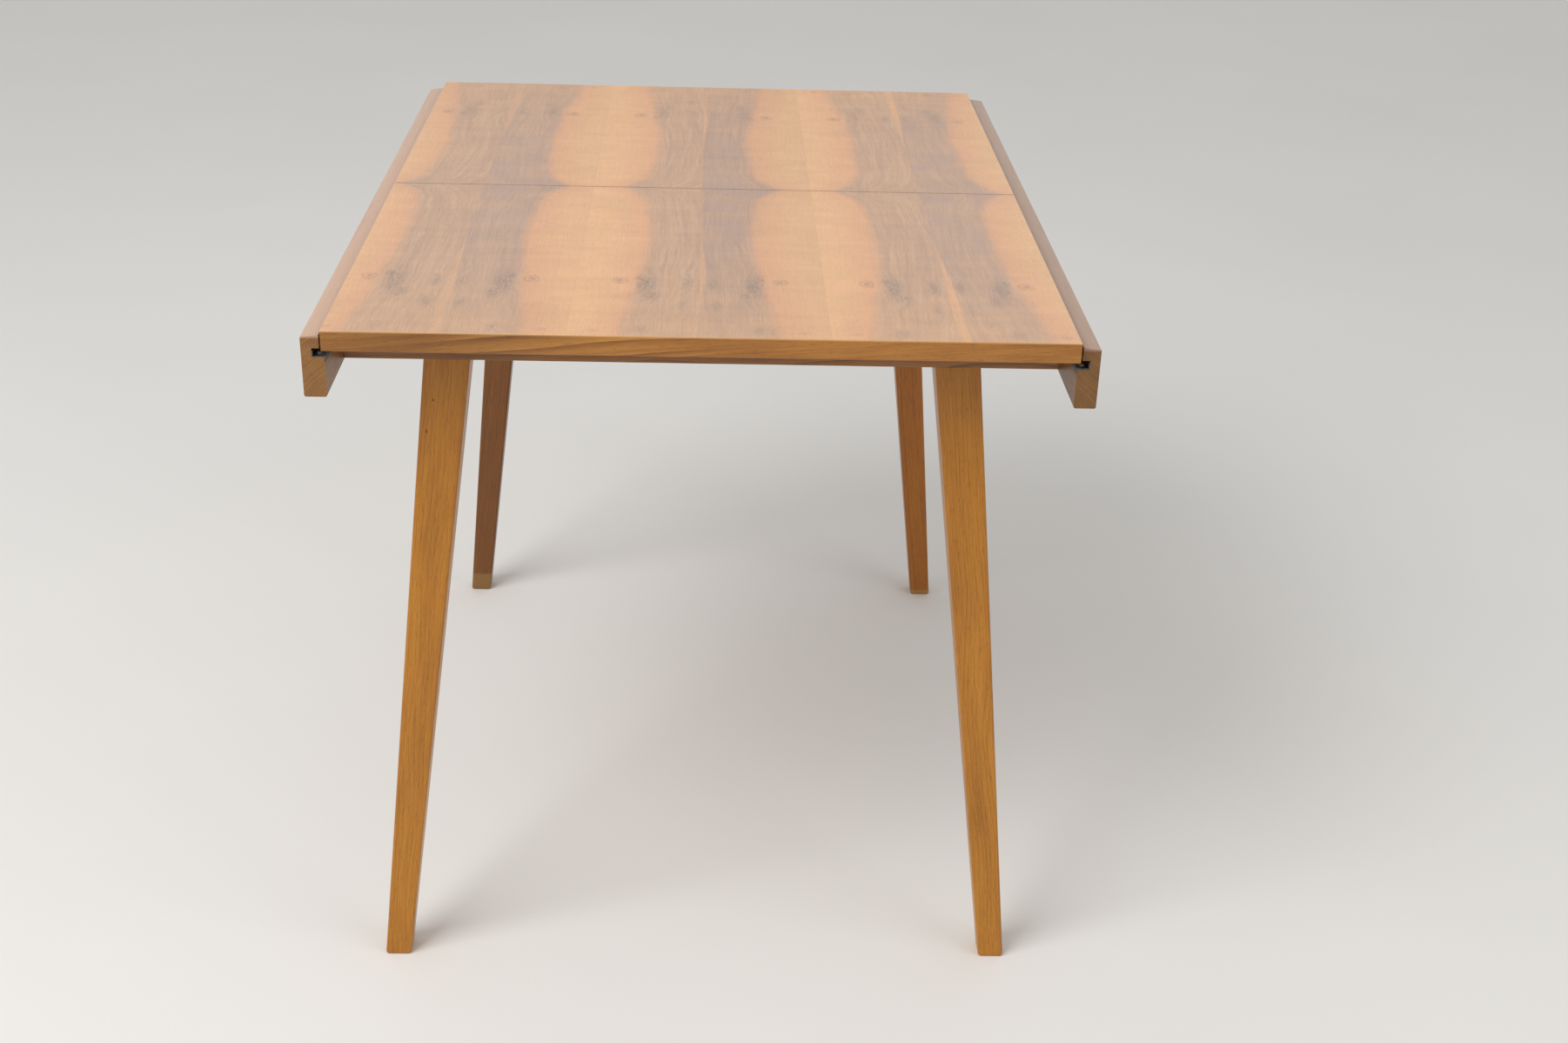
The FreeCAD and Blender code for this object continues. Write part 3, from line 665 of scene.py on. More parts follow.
        # The pattern drifts a little from strip to strip, and from one half leaf to the other
        sheet = add(tree, MATH, {0: strip, 1: self.strip_drift}, operation="MULTIPLY")
        sheet = add(tree, MATH, {0: side, 1: self.half_drift, 2: sheet}, operation="MULTIPLY_ADD")
        leaf = add(tree, JOIN, {0: from_joint, 1: along, 2: sheet})
        return VeneerPlace(tree, across, along, side, strip, odd, sheet, from_joint, from_heart, leaf)

    def sap_depth(self, at: VeneerPlace, slow: Node) -> Node:
        """How far a point lies inside the sapwood's edge, before the edge frays.

        Args:
            at: The point's place.
            slow: The slow wander of the edge.

        Returns:
            The depth in millimetres, below zero in the heartwood.
        """
        tree = at.tree
        share = add(tree, MATH, {0: at.along, 1: self.reach}, operation="DIVIDE")
        width = add(tree, "ShaderNodeFloatCurve", {"Value": share})
        curve = width.mapping.curves[0]
        levels = [(distance / self.reach, half / self.strip) for distance, half in self.sap_widths]
        curve.points[0].location = levels[0]
        curve.points[1].location = levels[-1]
        for level in levels[1:-1]:
            curve.points.new(*level)
        width.mapping.update()
        depth = add(tree, MATH, {0: width, 1: self.strip}, operation="MULTIPLY")
        depth = add(tree, MATH, {0: depth, 1: at.from_joint}, operation="SUBTRACT")
        start, end, narrower = self.narrowing
        aside = add(tree, MATH, {0: at.across}, operation="ABSOLUTE")
        aside = add(tree, RANGE, {"Value": aside, "From Min": start, "From Max": end, "To Max": narrower})
        depth = add(tree, MATH, {0: depth, 1: aside}, operation="ADD")
        depth = add(tree, MATH, {0: slow, 1: self.sap_wander, 2: depth}, operation="MULTIPLY_ADD")
        return add(tree, MATH, {0: depth, 1: self.sap_wander / 2}, operation="SUBTRACT")

    def stain(self, at: VeneerPlace) -> Node:
        """Where the wood is flawed: a soft field round each crack.

        Args:
            at: The point's place.

        Returns:
            How flawed the wood is, from 0 to 1.
        """
        stain = None
        for mark in self.cracks:
            away = mark.away(at.tree, at.leaf)
            near = add(at.tree, RANGE, {"Value": away, "From Min": 0.1, "From Max": 1.6,
                                        "To Min": mark.strength, "To Max": 0.0},
                       interpolation_type="SMOOTHSTEP")
            stain = near if stain is None else add(at.tree, MATH, {0: stain, 1: near}, operation="MAXIMUM")
        return stain

    def heartwood(self, at: VeneerPlace, drawn: dict[str, Node], depth: Node, stain: Node) -> Node:
        """Brown heartwood, whose growth lines run alongside the sapwood's edge and bend round the flaws.

        Args:
            at: The point's place.
            drawn: The veneer's patterns.
            depth: How far the point lies inside the sapwood's edge.
            stain: Where the wood is flawed.

        Returns:
            Its colour.
        """
        tree = at.tree
        bent = add(tree, MATH, {0: stain, 1: self.line_bend, 2: depth}, operation="MULTIPLY_ADD")
        beside = add(tree, JOIN, {0: bent, 1: at.along, 2: at.sheet})
        lines = lay_patterns(tree, beside, GROWTH_LINES)["lines"]
        heart = add(tree, RAMP, {0: lines})
        shades = ((0.3, self.heart_dark), (0.5, self.heart_middle), (0.72, self.heart_light))
        set_stops(heart, [(position, linear(shade)) for position, shade in shades])
        # Fine lines, broken where the blade ran along the fibres
        contour = bent
        for name, reach in (("slow", self.line_wander), ("fray", self.line_fray)):
            contour = add(tree, MATH, {0: drawn[name], 1: reach, 2: contour}, operation="MULTIPLY_ADD")
        contour = add(tree, MATH, {0: contour, 1: self.line_gap / 2}, operation="PINGPONG")
        contour = add(tree, RANGE, {"Value": contour, "From Max": 0.75, "To Min": 1.0, "To Max": 0.0},
                      interpolation_type="SMOOTHSTEP")
        broken = add(tree, RANGE, {"Value": lines, "From Min": 0.42, "From Max": 0.6, "To Min": 0.42,
                                   "To Max": 0.05})
        contour = add(tree, MATH, {0: contour, 1: broken}, operation="MULTIPLY")
        heart = add(tree, MIX, {0: contour, 6: heart, 7: linear(self.heart_dark)}, data_type="RGBA")
        # The veneer's other face looks cooler, most of all near the seam, and the outer end is warmer
        cool = add(tree, RANGE, {"Value": drawn["cool"], "From Min": 0.3, "From Max": 0.62, "To Min": 0.1,
                                 "To Max": 0.55})
        seamward = add(tree, RANGE, {"Value": at.along, "From Min": 40.0, "From Max": 440.0, "To Min": 1.35,
                                     "To Max": 0.4})
        for factor in (at.odd, seamward):
            cool = add(tree, MATH, {0: cool, 1: factor}, operation="MULTIPLY")
        outer = add(tree, RANGE, {"Value": at.along, "From Min": 300.0, "From Max": 480.0, "To Max": 0.42})
        for amount, tint in ((cool, self.heart_cool), (outer, self.heart_warm)):
            heart = add(tree, MIX, {0: amount, 6: heart, 7: linear(tint)}, data_type="RGBA")
        return heart

    def brown_tongue(self, at: VeneerPlace, fray: Node) -> Node:
        """An orange tongue where heartwood meets heartwood.

        It opens past the middle of the half leaf, stays open to the outer end at the outer joints, and closes
        again at the middle one. It shows mostly on the cool side of each joint, and best on the right.

        Args:
            at: The point's place.
            fray: The fray of its edge.

        Returns:
            How much of it shows.
        """
        tree = at.tree
        half = add(tree, RANGE, {"Value": at.along, "From Min": 170.0, "From Max": 350.0, "To Min": -1.4,
                                 "To Max": 5.2})
        middle = add(tree, MATH, {0: at.across}, operation="ABSOLUTE")
        middle = add(tree, RANGE, {"Value": middle, "From Min": 60.0, "From Max": 180.0, "To Min": 1.0,
                                   "To Max": 0.0})
        closing = add(tree, RANGE, {"Value": at.along, "From Min": 300.0, "From Max": 425.0, "To Max": -8.0})
        half = add(tree, MATH, {0: closing, 1: middle, 2: half}, operation="MULTIPLY_ADD")
        inside = add(tree, MATH, {0: half, 1: at.from_heart}, operation="SUBTRACT")
        offside = add(tree, RANGE, {"Value": at.odd, "To Min": -2.8, "To Max": 1.6})
        inside = add(tree, MATH, {0: inside, 1: offside}, operation="ADD")
        inside = add(tree, MATH, {0: fray, 1: self.wedge_fray, 2: inside}, operation="MULTIPLY_ADD")
        tongue = add(tree, RANGE, {"Value": inside, "From Min": -0.2, "From Max": 3.6},
                     interpolation_type="SMOOTHSTEP")
        vivid = add(tree, RANGE, {"Value": at.across, "From Min": -250.0, "From Max": 0.0, "To Min": 0.34,
                                  "To Max": 0.62})
        return add(tree, MATH, {0: tongue, 1: vivid}, operation="MULTIPLY")

    def light_and_shade(self, at: VeneerPlace, drawn: dict[str, Node], sap: Node, dash: Node) -> Node:
        """How the strips, fibres, clouds, ripples, pores and joints darken or lighten the wood.

        Args:
            at: The point's place.
            drawn: The veneer's patterns.
            sap: How much sapwood there is.
            dash: How the pores darken the wood.

        Returns:
            The factor of all of them.
        """
        tree = at.tree
        tone = add(tree, WHITE_NOISE, {"W": at.strip}, noise_dimensions="1D")
        # Fibres show less in the sapwood
        faint = add(tree, RANGE, {"Value": sap, "To Min": 0.9, "To Max": 0.95})
        strong = add(tree, RANGE, {"Value": sap, "To Min": 1.08, "To Max": 1.04})
        nearest = add(tree, MATH, {0: at.from_heart, 1: at.from_joint}, operation="MINIMUM")
        shade = dash
        for level, low, high, darkest, lightest in (
            (tone, 0.0, 1.0, 0.93, 1.05),
            (drawn["fibre"], 0.3, 0.7, faint, strong),
            (drawn["cloud"], 0.3, 0.7, 0.95, 1.05),
            (drawn["ripple"], 0.3, 0.7, 0.965, 1.035),
            (nearest, 0.25, 0.7, 0.93, 1.0),
        ):
            factor = add(tree, RANGE, {"Value": level, "From Min": low, "From Max": high, "To Min": darkest,
                                       "To Max": lightest})
            shade = add(tree, MATH, {0: shade, 1: factor}, operation="MULTIPLY")
        return shade

    def pin_knot(self, at: VeneerPlace, mark: Mark, swirl: Node) -> Node:
        """A brown eye in a thin dark rim, both pulled out of round.

        Args:
            at: The point's place.
            mark: Where the knot lies.
            swirl: What pulls it out of round.

        Returns:
            How much of the knot's colour shows.
        """
        tree = at.tree
        away = add(tree, MATH, {0: swirl, 1: self.knot_pull, 2: mark.away(tree, at.leaf)},
                   operation="MULTIPLY_ADD")
        away = add(tree, MATH, {0: away, 1: self.knot_pull / 2}, operation="SUBTRACT")
        eye = add(tree, RANGE, {"Value": away, "From Min": 0.15, "From Max": 0.75,
                                "To Min": mark.strength * self.eye_share, "To Max": 0.0},
                  interpolation_type="SMOOTHSTEP")
        rim = add(tree, MATH, {0: away, 1: 1.0}, operation="SUBTRACT")
        rim = add(tree, MATH, {0: rim}, operation="ABSOLUTE")
        rim = add(tree, RANGE, {"Value": rim, "From Max": 0.34, "To Min": mark.strength * self.rim_share,
                                "To Max": 0.0}, interpolation_type="SMOOTHSTEP")
        return add(tree, MATH, {0: eye, 1: rim}, operation="ADD")

    def feathery_cracks(self, at: VeneerPlace, drawn: dict[str, Node], stain: Node) -> Node:
        """Grey cracks: thin broken lines where a pattern crosses its middle level, in a smoky patch.

        Args:
            at: The point's place.
            drawn: The veneer's patterns.
            stain: Where the wood is flawed.

        Returns:
            How much of the ink shows.
        """
        tree = at.tree
        crossing = add(tree, MATH, {0: drawn["veins"], 1: 0.5}, operation="SUBTRACT")
        crossing = add(tree, MATH, {0: crossing}, operation="ABSOLUTE")
        thin = add(tree, RANGE, {"Value": crossing, "From Max": 0.075, "To Min": 1.0, "To Max": 0.0},
                   interpolation_type="SMOOTHSTEP")
        gate = add(tree, MATH, {0: stain, 1: self.crack_spread, 2: drawn["blots"]}, operation="MULTIPLY_ADD")
        gate = add(tree, RANGE, {"Value": gate, "From Min": 0.52, "From Max": 0.8},
                   interpolation_type="SMOOTHSTEP")
        split = add(tree, MATH, {0: thin, 1: self.line_share, 2: self.patch_share}, operation="MULTIPLY_ADD")
        for factor in (gate, stain):
            split = add(tree, MATH, {0: split, 1: factor}, operation="MULTIPLY")
        haze = add(tree, MATH, {0: stain, 1: self.haze_share}, operation="MULTIPLY")
        split = add(tree, MATH, {0: split, 1: self.crack_share, 2: haze}, operation="MULTIPLY_ADD",
                    use_clamp=True)
        fainter = add(tree, RANGE, {"Value": at.side, "From Min": -1.0, "To Min": 1.0,
                                    "To Max": self.back_share})
        return add(tree, MATH, {0: split, 1: fainter}, operation="MULTIPLY")

    def material(self) -> bpy.types.Material:
        """Build the node material.

        Returns:
            The finished material.
        """
        material, tree, shader = blank_material(self.name)
        at = self.place(tree)
        drawn = lay_patterns(tree, at.leaf, VENEER_PATTERNS)
        depth = self.sap_depth(at, drawn["slow"])
        frayed = add(tree, MATH, {0: drawn["fray"], 1: self.sap_fray, 2: depth}, operation="MULTIPLY_ADD")
        sap = add(tree, RANGE, {"Value": frayed, "From Min": -5.0, "From Max": 12.0},
                  interpolation_type="SMOOTHSTEP")
        deeper = add(tree, RANGE, {"Value": frayed, "From Min": -2.0, "From Max": 46.0})
        pale = add(tree, MIX, {0: deeper, 6: linear(self.sap_deep), 7: linear(self.sap_pale)},
                   data_type="RGBA")
        stain = self.stain(at)
        heart = self.heartwood(at, drawn, depth, stain)
        colour = add(tree, MIX, {0: sap, 6: heart, 7: pale}, data_type="RGBA")
        tongue = self.brown_tongue(at, drawn["fray"])
        colour = add(tree, MIX, {0: tongue, 6: colour, 7: linear(self.wedge)}, data_type="RGBA")
        dash = add(tree, RANGE, {"Value": drawn["pores"], "From Min": 0.56, "From Max": 0.74, "To Min": 1.0,
                                 "To Max": 0.84}, interpolation_type="SMOOTHSTEP")
        colour = shaded(tree, colour, self.light_and_shade(at, drawn, sap, dash))
        # Knots and cracks, painted shade along the seam, and a rubbed outer arris where the lacquer is worn
        # to pale wood
        seam_shade = add(tree, RANGE, {"Value": at.along, "From Min": 0.5, "From Max": 2.0, "To Min": 0.55,
                                  "To Max": 0.0})
        start, end = self.rubbed
        rubbed = add(tree, RANGE, {"Value": at.along, "From Min": self.reach - start,
                                   "From Max": self.reach - end, "To Max": 0.3})
        for amount, tint in (
            *((self.pin_knot(at, mark, drawn["swirl"]), self.knot) for mark in self.knots),
            (self.feathery_cracks(at, drawn, stain), self.ink),
            (seam_shade, self.seam_shade),
            (rubbed, self.bare),
        ):
            colour = add(tree, MIX, {0: amount, 6: colour, 7: linear(tint)}, data_type="RGBA")
        rougher, smoother = self.gloss
        sheen = add(tree, RANGE, {"Value": drawn["fibre"], "From Min": 0.3, "From Max": 0.7,
                                  "To Min": self.roughness + rougher, "To Max": self.roughness - smoother})
        finish_shader(tree, shader, {"Base Color": colour, "Roughness": sheen, "IOR": LACQUER_IOR}, dash,
                      strength=0.08, height=0.1)
        return material


# Above which level of their pattern rust specks show where they are few, how much lower it is where they are
# many, and over what span they set in
SPECK_LEVEL = 0.8
SPECK_DROP = 0.3
SPECK_SPAN = 0.12


@dataclass(frozen=True)
class SheetSteel:
    """Mild steel sheet or wire goods: rolled or plated, with dull patches, fine draw lines and rust specks.

    Attributes:
        name: The metal and how its surface was made.
        bright, dull: Colours of clean and tarnished metal.
        rust: Colour of the specks.
        rust_share: How much of the surface the specks take.
        roughness: Roughness of the clean metal.
        tarnish: How much rougher the tarnished metal is.
        draw: Size of the draw lines in millimetres across, along and up.
        draw_share: How much the draw lines count beside the dull patches.
    """

    name: str
    bright: str
    dull: str
    rust: str = "#5B3B27"
    rust_share: float = 0.3
    roughness: float = 0.36
    tarnish: float = 0.16
    draw: Point = (1.2, 60.0, 1.2)
    draw_share: float = 0.5

    def material(self) -> bpy.types.Material:
        """Build the node material.

        Returns:
            The finished material.
        """
        material, tree, shader = blank_material(self.name)
        drawn = lay_patterns(tree, object_millimetres(tree), {
            "patches": Pattern((14.0, 30.0, 14.0), detail=4.0, roughness=0.6),
            "lines": Pattern(self.draw),
            "specks": Pattern((2.4, 2.4, 2.4), detail=4.0, roughness=0.7),
        })
        clean = add(tree, MATH, {0: drawn["lines"], 1: self.draw_share, 2: drawn["patches"]},
                    operation="MULTIPLY_ADD")
        clean = add(tree, RANGE, {"Value": clean, "From Min": 0.5, "From Max": 1.0})
        metal = add(tree, MIX, {0: clean, 6: linear(self.dull), 7: linear(self.bright)}, data_type="RGBA")
        high = SPECK_LEVEL - SPECK_DROP * self.rust_share
        rusty = add(tree, RANGE, {"Value": drawn["specks"], "From Min": high - SPECK_SPAN, "From Max": high},
                    interpolation_type="SMOOTHSTEP")
        colour = add(tree, MIX, {0: rusty, 6: metal, 7: linear(self.rust)}, data_type="RGBA")
        metallic = add(tree, RANGE, {"Value": rusty, "To Min": 1.0, "To Max": 0.25})
        rough = add(tree, RANGE, {"Value": clean, "To Min": self.roughness + self.tarnish,
                                  "To Max": self.roughness})
        finish_shader(tree, shader, {"Base Color": colour, "Metallic": metallic, "Roughness": rough},
                      drawn["specks"], strength=0.08, height=0.1)
        return material


@dataclass(frozen=True)
class BlockBoard:
    """Softwood blockboard core with a rotary-cut backing veneer below.

    The edges show short battens glued side by side, each with its own tone, and the underside shows the wide,
    wandering lines of a peeled veneer.

    Attributes:
        name: The board and how its surface was made.
        batten: Width of one batten in millimetres.
        pale, brown, dark: Colours of the backing veneer and the battens.
        bands: How many lines the peeled veneer shows.
        band_share, tone_share: How much the lines and the battens' tones count beside the fibres.
        level: How level a face is, beside one that lies flat, to count as the underside.
    """

    name: str = "Pine blockboard, peeled backing veneer"
    batten: float = 22.0
    pale: str = "#C9A277"
    brown: str = "#A67C52"
    dark: str = "#7F5A3A"
    bands: float = 17.0
    band_share: float = 0.35
    tone_share: float = 0.5
    level: float = 0.7

    def material(self) -> bpy.types.Material:
        """Build the node material.

        Returns:
            The finished material.
        """
        material, tree, shader = blank_material(self.name)
        frame = object_millimetres(tree)
        point = add(tree, SPLIT, {0: frame})
        drawn = lay_patterns(tree, frame, {
            "peel": Pattern((60.0, 240.0, math.inf), roughness=0.4),
            "fibre": Pattern((1.1, 38.0, 1.1), detail=3.0, roughness=0.65),
        })
        # Peeled veneer below: broad wandering lines along the table
        bands = add(tree, MATH, {0: drawn["peel"], 1: self.bands}, operation="MULTIPLY")
        bands = add(tree, MATH, {0: bands, 1: 1.0}, operation="PINGPONG")
        below = add(tree, MATH, {0: bands, 1: self.band_share, 2: drawn["fibre"]}, operation="MULTIPLY_ADD")
        below = add(tree, RANGE, {"Value": below, "From Min": 0.35, "From Max": 1.0})
        below = add(tree, MIX, {0: below, 6: linear(self.brown), 7: linear(self.pale)}, data_type="RGBA")
        # Battens on the edges
        count = add(tree, MATH, {0: point.outputs["X"], 1: self.batten}, operation="DIVIDE")
        each = add(tree, MATH, {0: count}, operation="FLOOR")
        tone = add(tree, WHITE_NOISE, {"W": each}, noise_dimensions="1D")
        edge = add(tree, MATH, {0: tone, 1: self.tone_share, 2: drawn["fibre"]}, operation="MULTIPLY_ADD")
        edge = add(tree, RANGE, {"Value": edge, "From Min": 0.4, "From Max": 1.1})
        edge = add(tree, MIX, {0: edge, 6: linear(self.dark), 7: linear(self.brown)}, data_type="RGBA")
        facing = add(tree, "ShaderNodeNewGeometry")
        up = add(tree, SPLIT, {0: facing.outputs["Normal"]})
        flat = add(tree, MATH, {0: up.outputs["Z"]}, operation="ABSOLUTE")
        flat = add(tree, MATH, {0: flat, 1: self.level}, operation="GREATER_THAN")
        colour = add(tree, MIX, {0: flat, 6: edge, 7: below}, data_type="RGBA")
        rough = add(tree, RANGE, {"Value": drawn["fibre"], "To Min": 0.62, "To Max": 0.5})
        finish_shader(tree, shader, {"Base Color": colour, "Roughness": rough}, drawn["fibre"], strength=0.15,
                      height=0.2)
        return material


class Finish(Enum):
    """Every finish on the table, with what it gives the eye."""

    # Half leaves: pale waisted tongues on brown, in mirrored pairs, under a soft gloss
    TOP_VENEER = BookMatchedWalnut()
    # The stored leaf comes from the same log, turned a quarter round
    INSERT_VENEER = BookMatchedWalnut(name="Book-matched walnut veneer, stored leaf", turned=True)
    # End strips: brown with one bold sweep of grain on the left, golden and calm on the right
    LIPPING = SolidWood("Solid walnut strip, satin lacquer", "#6B3F17", "#996224", "#B87F38", Grain.ACROSS,
                        heart=(-470.0, 640.0), ring=12.0, ring_share=0.62, drift_share=0.6, pore=0.35,
                        roughness=0.33, swing=46.0, swing_long=420.0, slope=0.085,
                        calm=(-300.0, -210.0, -80.0, 40.0), worn=("#C99A5E", 757.8, 758.9),
                        fade=("X", -205.0, -30.0, 0.87, 1.12))
    # Rails: brown stained hardwood with ring arcs on the end grain, the right one in deeper shade
    RAIL = SolidWood("Stained beech rail, satin lacquer", "#633F1A", "#8C5F2C", "#AC7A3C", Grain.LENGTHWISE,
                     heart=(0.0, 330.0), ring=2.6, ring_share=0.34, pore=0.4, roughness=0.38, swing=7.0,
                     worn=("#CBA68D", 748.5, 751.0), fade=("X", -1.0, 1.0, 1.0, 0.72))
    # Front legs: honey-amber ash with fine grain, open pores and two bruises on the left leg, and darker
    # towards their tops as painted shade under the table top
    LEG = SolidWood("Amber stained ash leg, satin lacquer", "#824C09", "#AF7014", "#C8892A", Grain.LEG,
                    heart=(160.0, -120.0), ring=3.4, ring_share=0.2, drift_share=0.5, pore=0.34,
                    roughness=0.34, swing=24.0, swing_long=230.0, fade=("Z", 620.0, 692.0, 1.0, 0.88),
                    dents=(((-272.8, -391.9, 650.3), (1.6, 6.0, 1.8)),
                           ((-281.0, -395.0, 617.0), (1.4, 6.0, 2.6))))
    # Back legs: ash like the front legs, painted darker and redder as painted shade, the left one most of
    # all, with the stain worn off at the feet
    LEG_DEEP_SHADE = SolidWood("Ash leg in deep painted shade, satin lacquer", "#573005", "#774610", "#87551E", Grain.LEG,
                          heart=(150.0, -90.0), ring=3.8, ring_share=0.25, drift_share=0.4, pore=0.34,
                          roughness=0.36, swing=16.0, swing_long=420.0, worn=("#8E6A35", 31.0, 27.0))
    LEG_HALF_SHADE = replace(LEG_DEEP_SHADE, name="Ash leg in half painted shade, satin lacquer", dark="#7A430A",
                         middle="#A56318", light="#BB7828", heart=(-140.0, 110.0),
                         worn=("#A8804E", 11.0, 6.0))
    # Cross boards: dull dark stain
    BEARER = SolidWood("Dark stained softwood board", "#5E3A20", "#87592F", "#A4743F", Grain.ACROSS,
                       heart=(30.0, 560.0), ring=5.0, ring_share=0.5, pore=0.2, roughness=0.55)
    # Blocks and cleats: raw planed pine with strong yellow and brown rings
    PINE = SolidWood("Planed pine block", "#A2713C", "#C79A62", "#DDBB88", Grain.ACROSS, heart=(20.0, 690.0),
                     ring=4.0, ring_share=0.7, pore=0.05, roughness=0.6)
    # Runners and battens: waxed beech, even pinkish tan with short flecks
    RUNNER = SolidWood("Waxed beech runner", "#96683C", "#B48759", "#C79C6E", Grain.LENGTHWISE,
                       heart=(280.0, 700.0), ring=3.0, ring_share=0.25, pore=0.4, roughness=0.46)
    BATTEN = replace(RUNNER, name="Waxed beech batten", grain=Grain.ACROSS, heart=(330.0, 680.0))
    # Dowels: pale raw beech
    DOWEL = SolidWood("Turned beech dowel", "#A87C4E", "#C29A6B", "#D3B083", Grain.LENGTHWISE,
                      heart=(0.0, 700.0), ring=2.2, ring_share=0.3, pore=0.3, roughness=0.55)
    # Cores: battens on the edges, peeled veneer below
    CORE = BlockBoard()
    # Groove liners: blue-grey bent strip, painted darker than clean steel as painted shade in the grooves
    LINER = SheetSteel("Bent mild steel strip", "#76818C", "#444C54", rust_share=0.4, roughness=0.4)
    # Screws, bolts and pins: yellowish zinc plate
    ZINC = SheetSteel("Zinc plated steel", "#B9B5A6", "#7F7B6E", rust_share=0.25, roughness=0.32,
                      draw=(2.0, 2.0, 2.0))
    # Stop screws in the open groove ends: steel painted a dull brown-grey as painted shade in the grooves
    GROOVE_SHADED_STEEL = SheetSteel("Steel screw darkened as painted shade", "#77726A", "#4A463F", rust_share=0.5, roughness=0.5,
                           draw=(2.0, 2.0, 2.0))
    # Hooks: pressed dark plate
    HOOK = SheetSteel("Pressed steel plate", "#7C7C7E", "#47474A", rust_share=0.3, roughness=0.42,
                      draw=(8.0, 1.0, 8.0))


class Way(Enum):
    """Which way a turned piece points, seen from its head."""

    UP = (0.0, 0.0, 1.0)
    DOWN = (0.0, 0.0, -1.0)
    LEFT = (-1.0, 0.0, 0.0)
    RIGHT = (1.0, 0.0, 0.0)
    BACK = (0.0, 1.0, 0.0)


# Which way points outwards on each side of the table
OUTWARDS = {-1: Way.LEFT, 1: Way.RIGHT}


# How much longer than a piece the saw for its slot is, in millimetres, and how many times as long the cutter
# for its hexagon is
SAW_EXTRA = 1000.0
CUTTER_TIMES = 4
# How far out a dowel's ridges lie at least, as a share of its radius
RIDGE_SHARE = 0.99


class Cut(Enum):
    """How a tool works a blank: what it takes away, or all that it leaves."""

    SAW = "DIFFERENCE"
    MILL = "INTERSECT"


def pick_only(piece: bpy.types.Object) -> None:
    """Select one piece and nothing else, and make it active.

    Args:
        piece: The piece.
    """
    bpy.ops.object.select_all(action="DESELECT")
    piece.select_set(True)
    bpy.context.view_layer.objects.active = piece


def edit_points(piece: bpy.types.Object, chosen: bool = True) -> None:
    """Go into edit mode on one piece.

    Args:
        piece: The piece, which is selected alone.
        chosen: Whether all of its points start selected, or none.
    """
    pick_only(piece)
    bpy.ops.object.mode_set(mode="EDIT")
    bpy.ops.mesh.select_mode(type="VERT")
    bpy.ops.mesh.select_all(action="SELECT" if chosen else "DESELECT")


def smooth(piece: bpy.types.Object) -> None:
    """Take slivers without area out of a piece, and smooth all but its sharp edges.

    Args:
        piece: The piece, which is selected alone.
    """
    edit_points(piece)
    bpy.ops.mesh.remove_doubles(threshold=metres(SLIVER))
    bpy.ops.mesh.dissolve_degenerate(threshold=metres(SLIVER))
    bpy.ops.object.mode_set(mode="OBJECT")
    bpy.ops.object.shade_smooth_by_angle(angle=SMOOTH_ANGLE)


def thread(crest: float, root: float, start: float, end: float, pitch: float) -> Outline:
    """Crests and roots of a screw thread, drawn as rings because the turns are too fine to follow.

    Args:
        crest, root: Outer and inner radius in millimetres.
        start, end: Between which heights the thread runs.
        pitch: Distance from crest to crest.

    Returns:
        The corners of its outline.
    """
    turns = range(int((end - start) / pitch))
    return tuple(
        corner
        for turn in turns
        for corner in ((root, start + turn * pitch), (crest, start + (turn + 0.5) * pitch))
    )


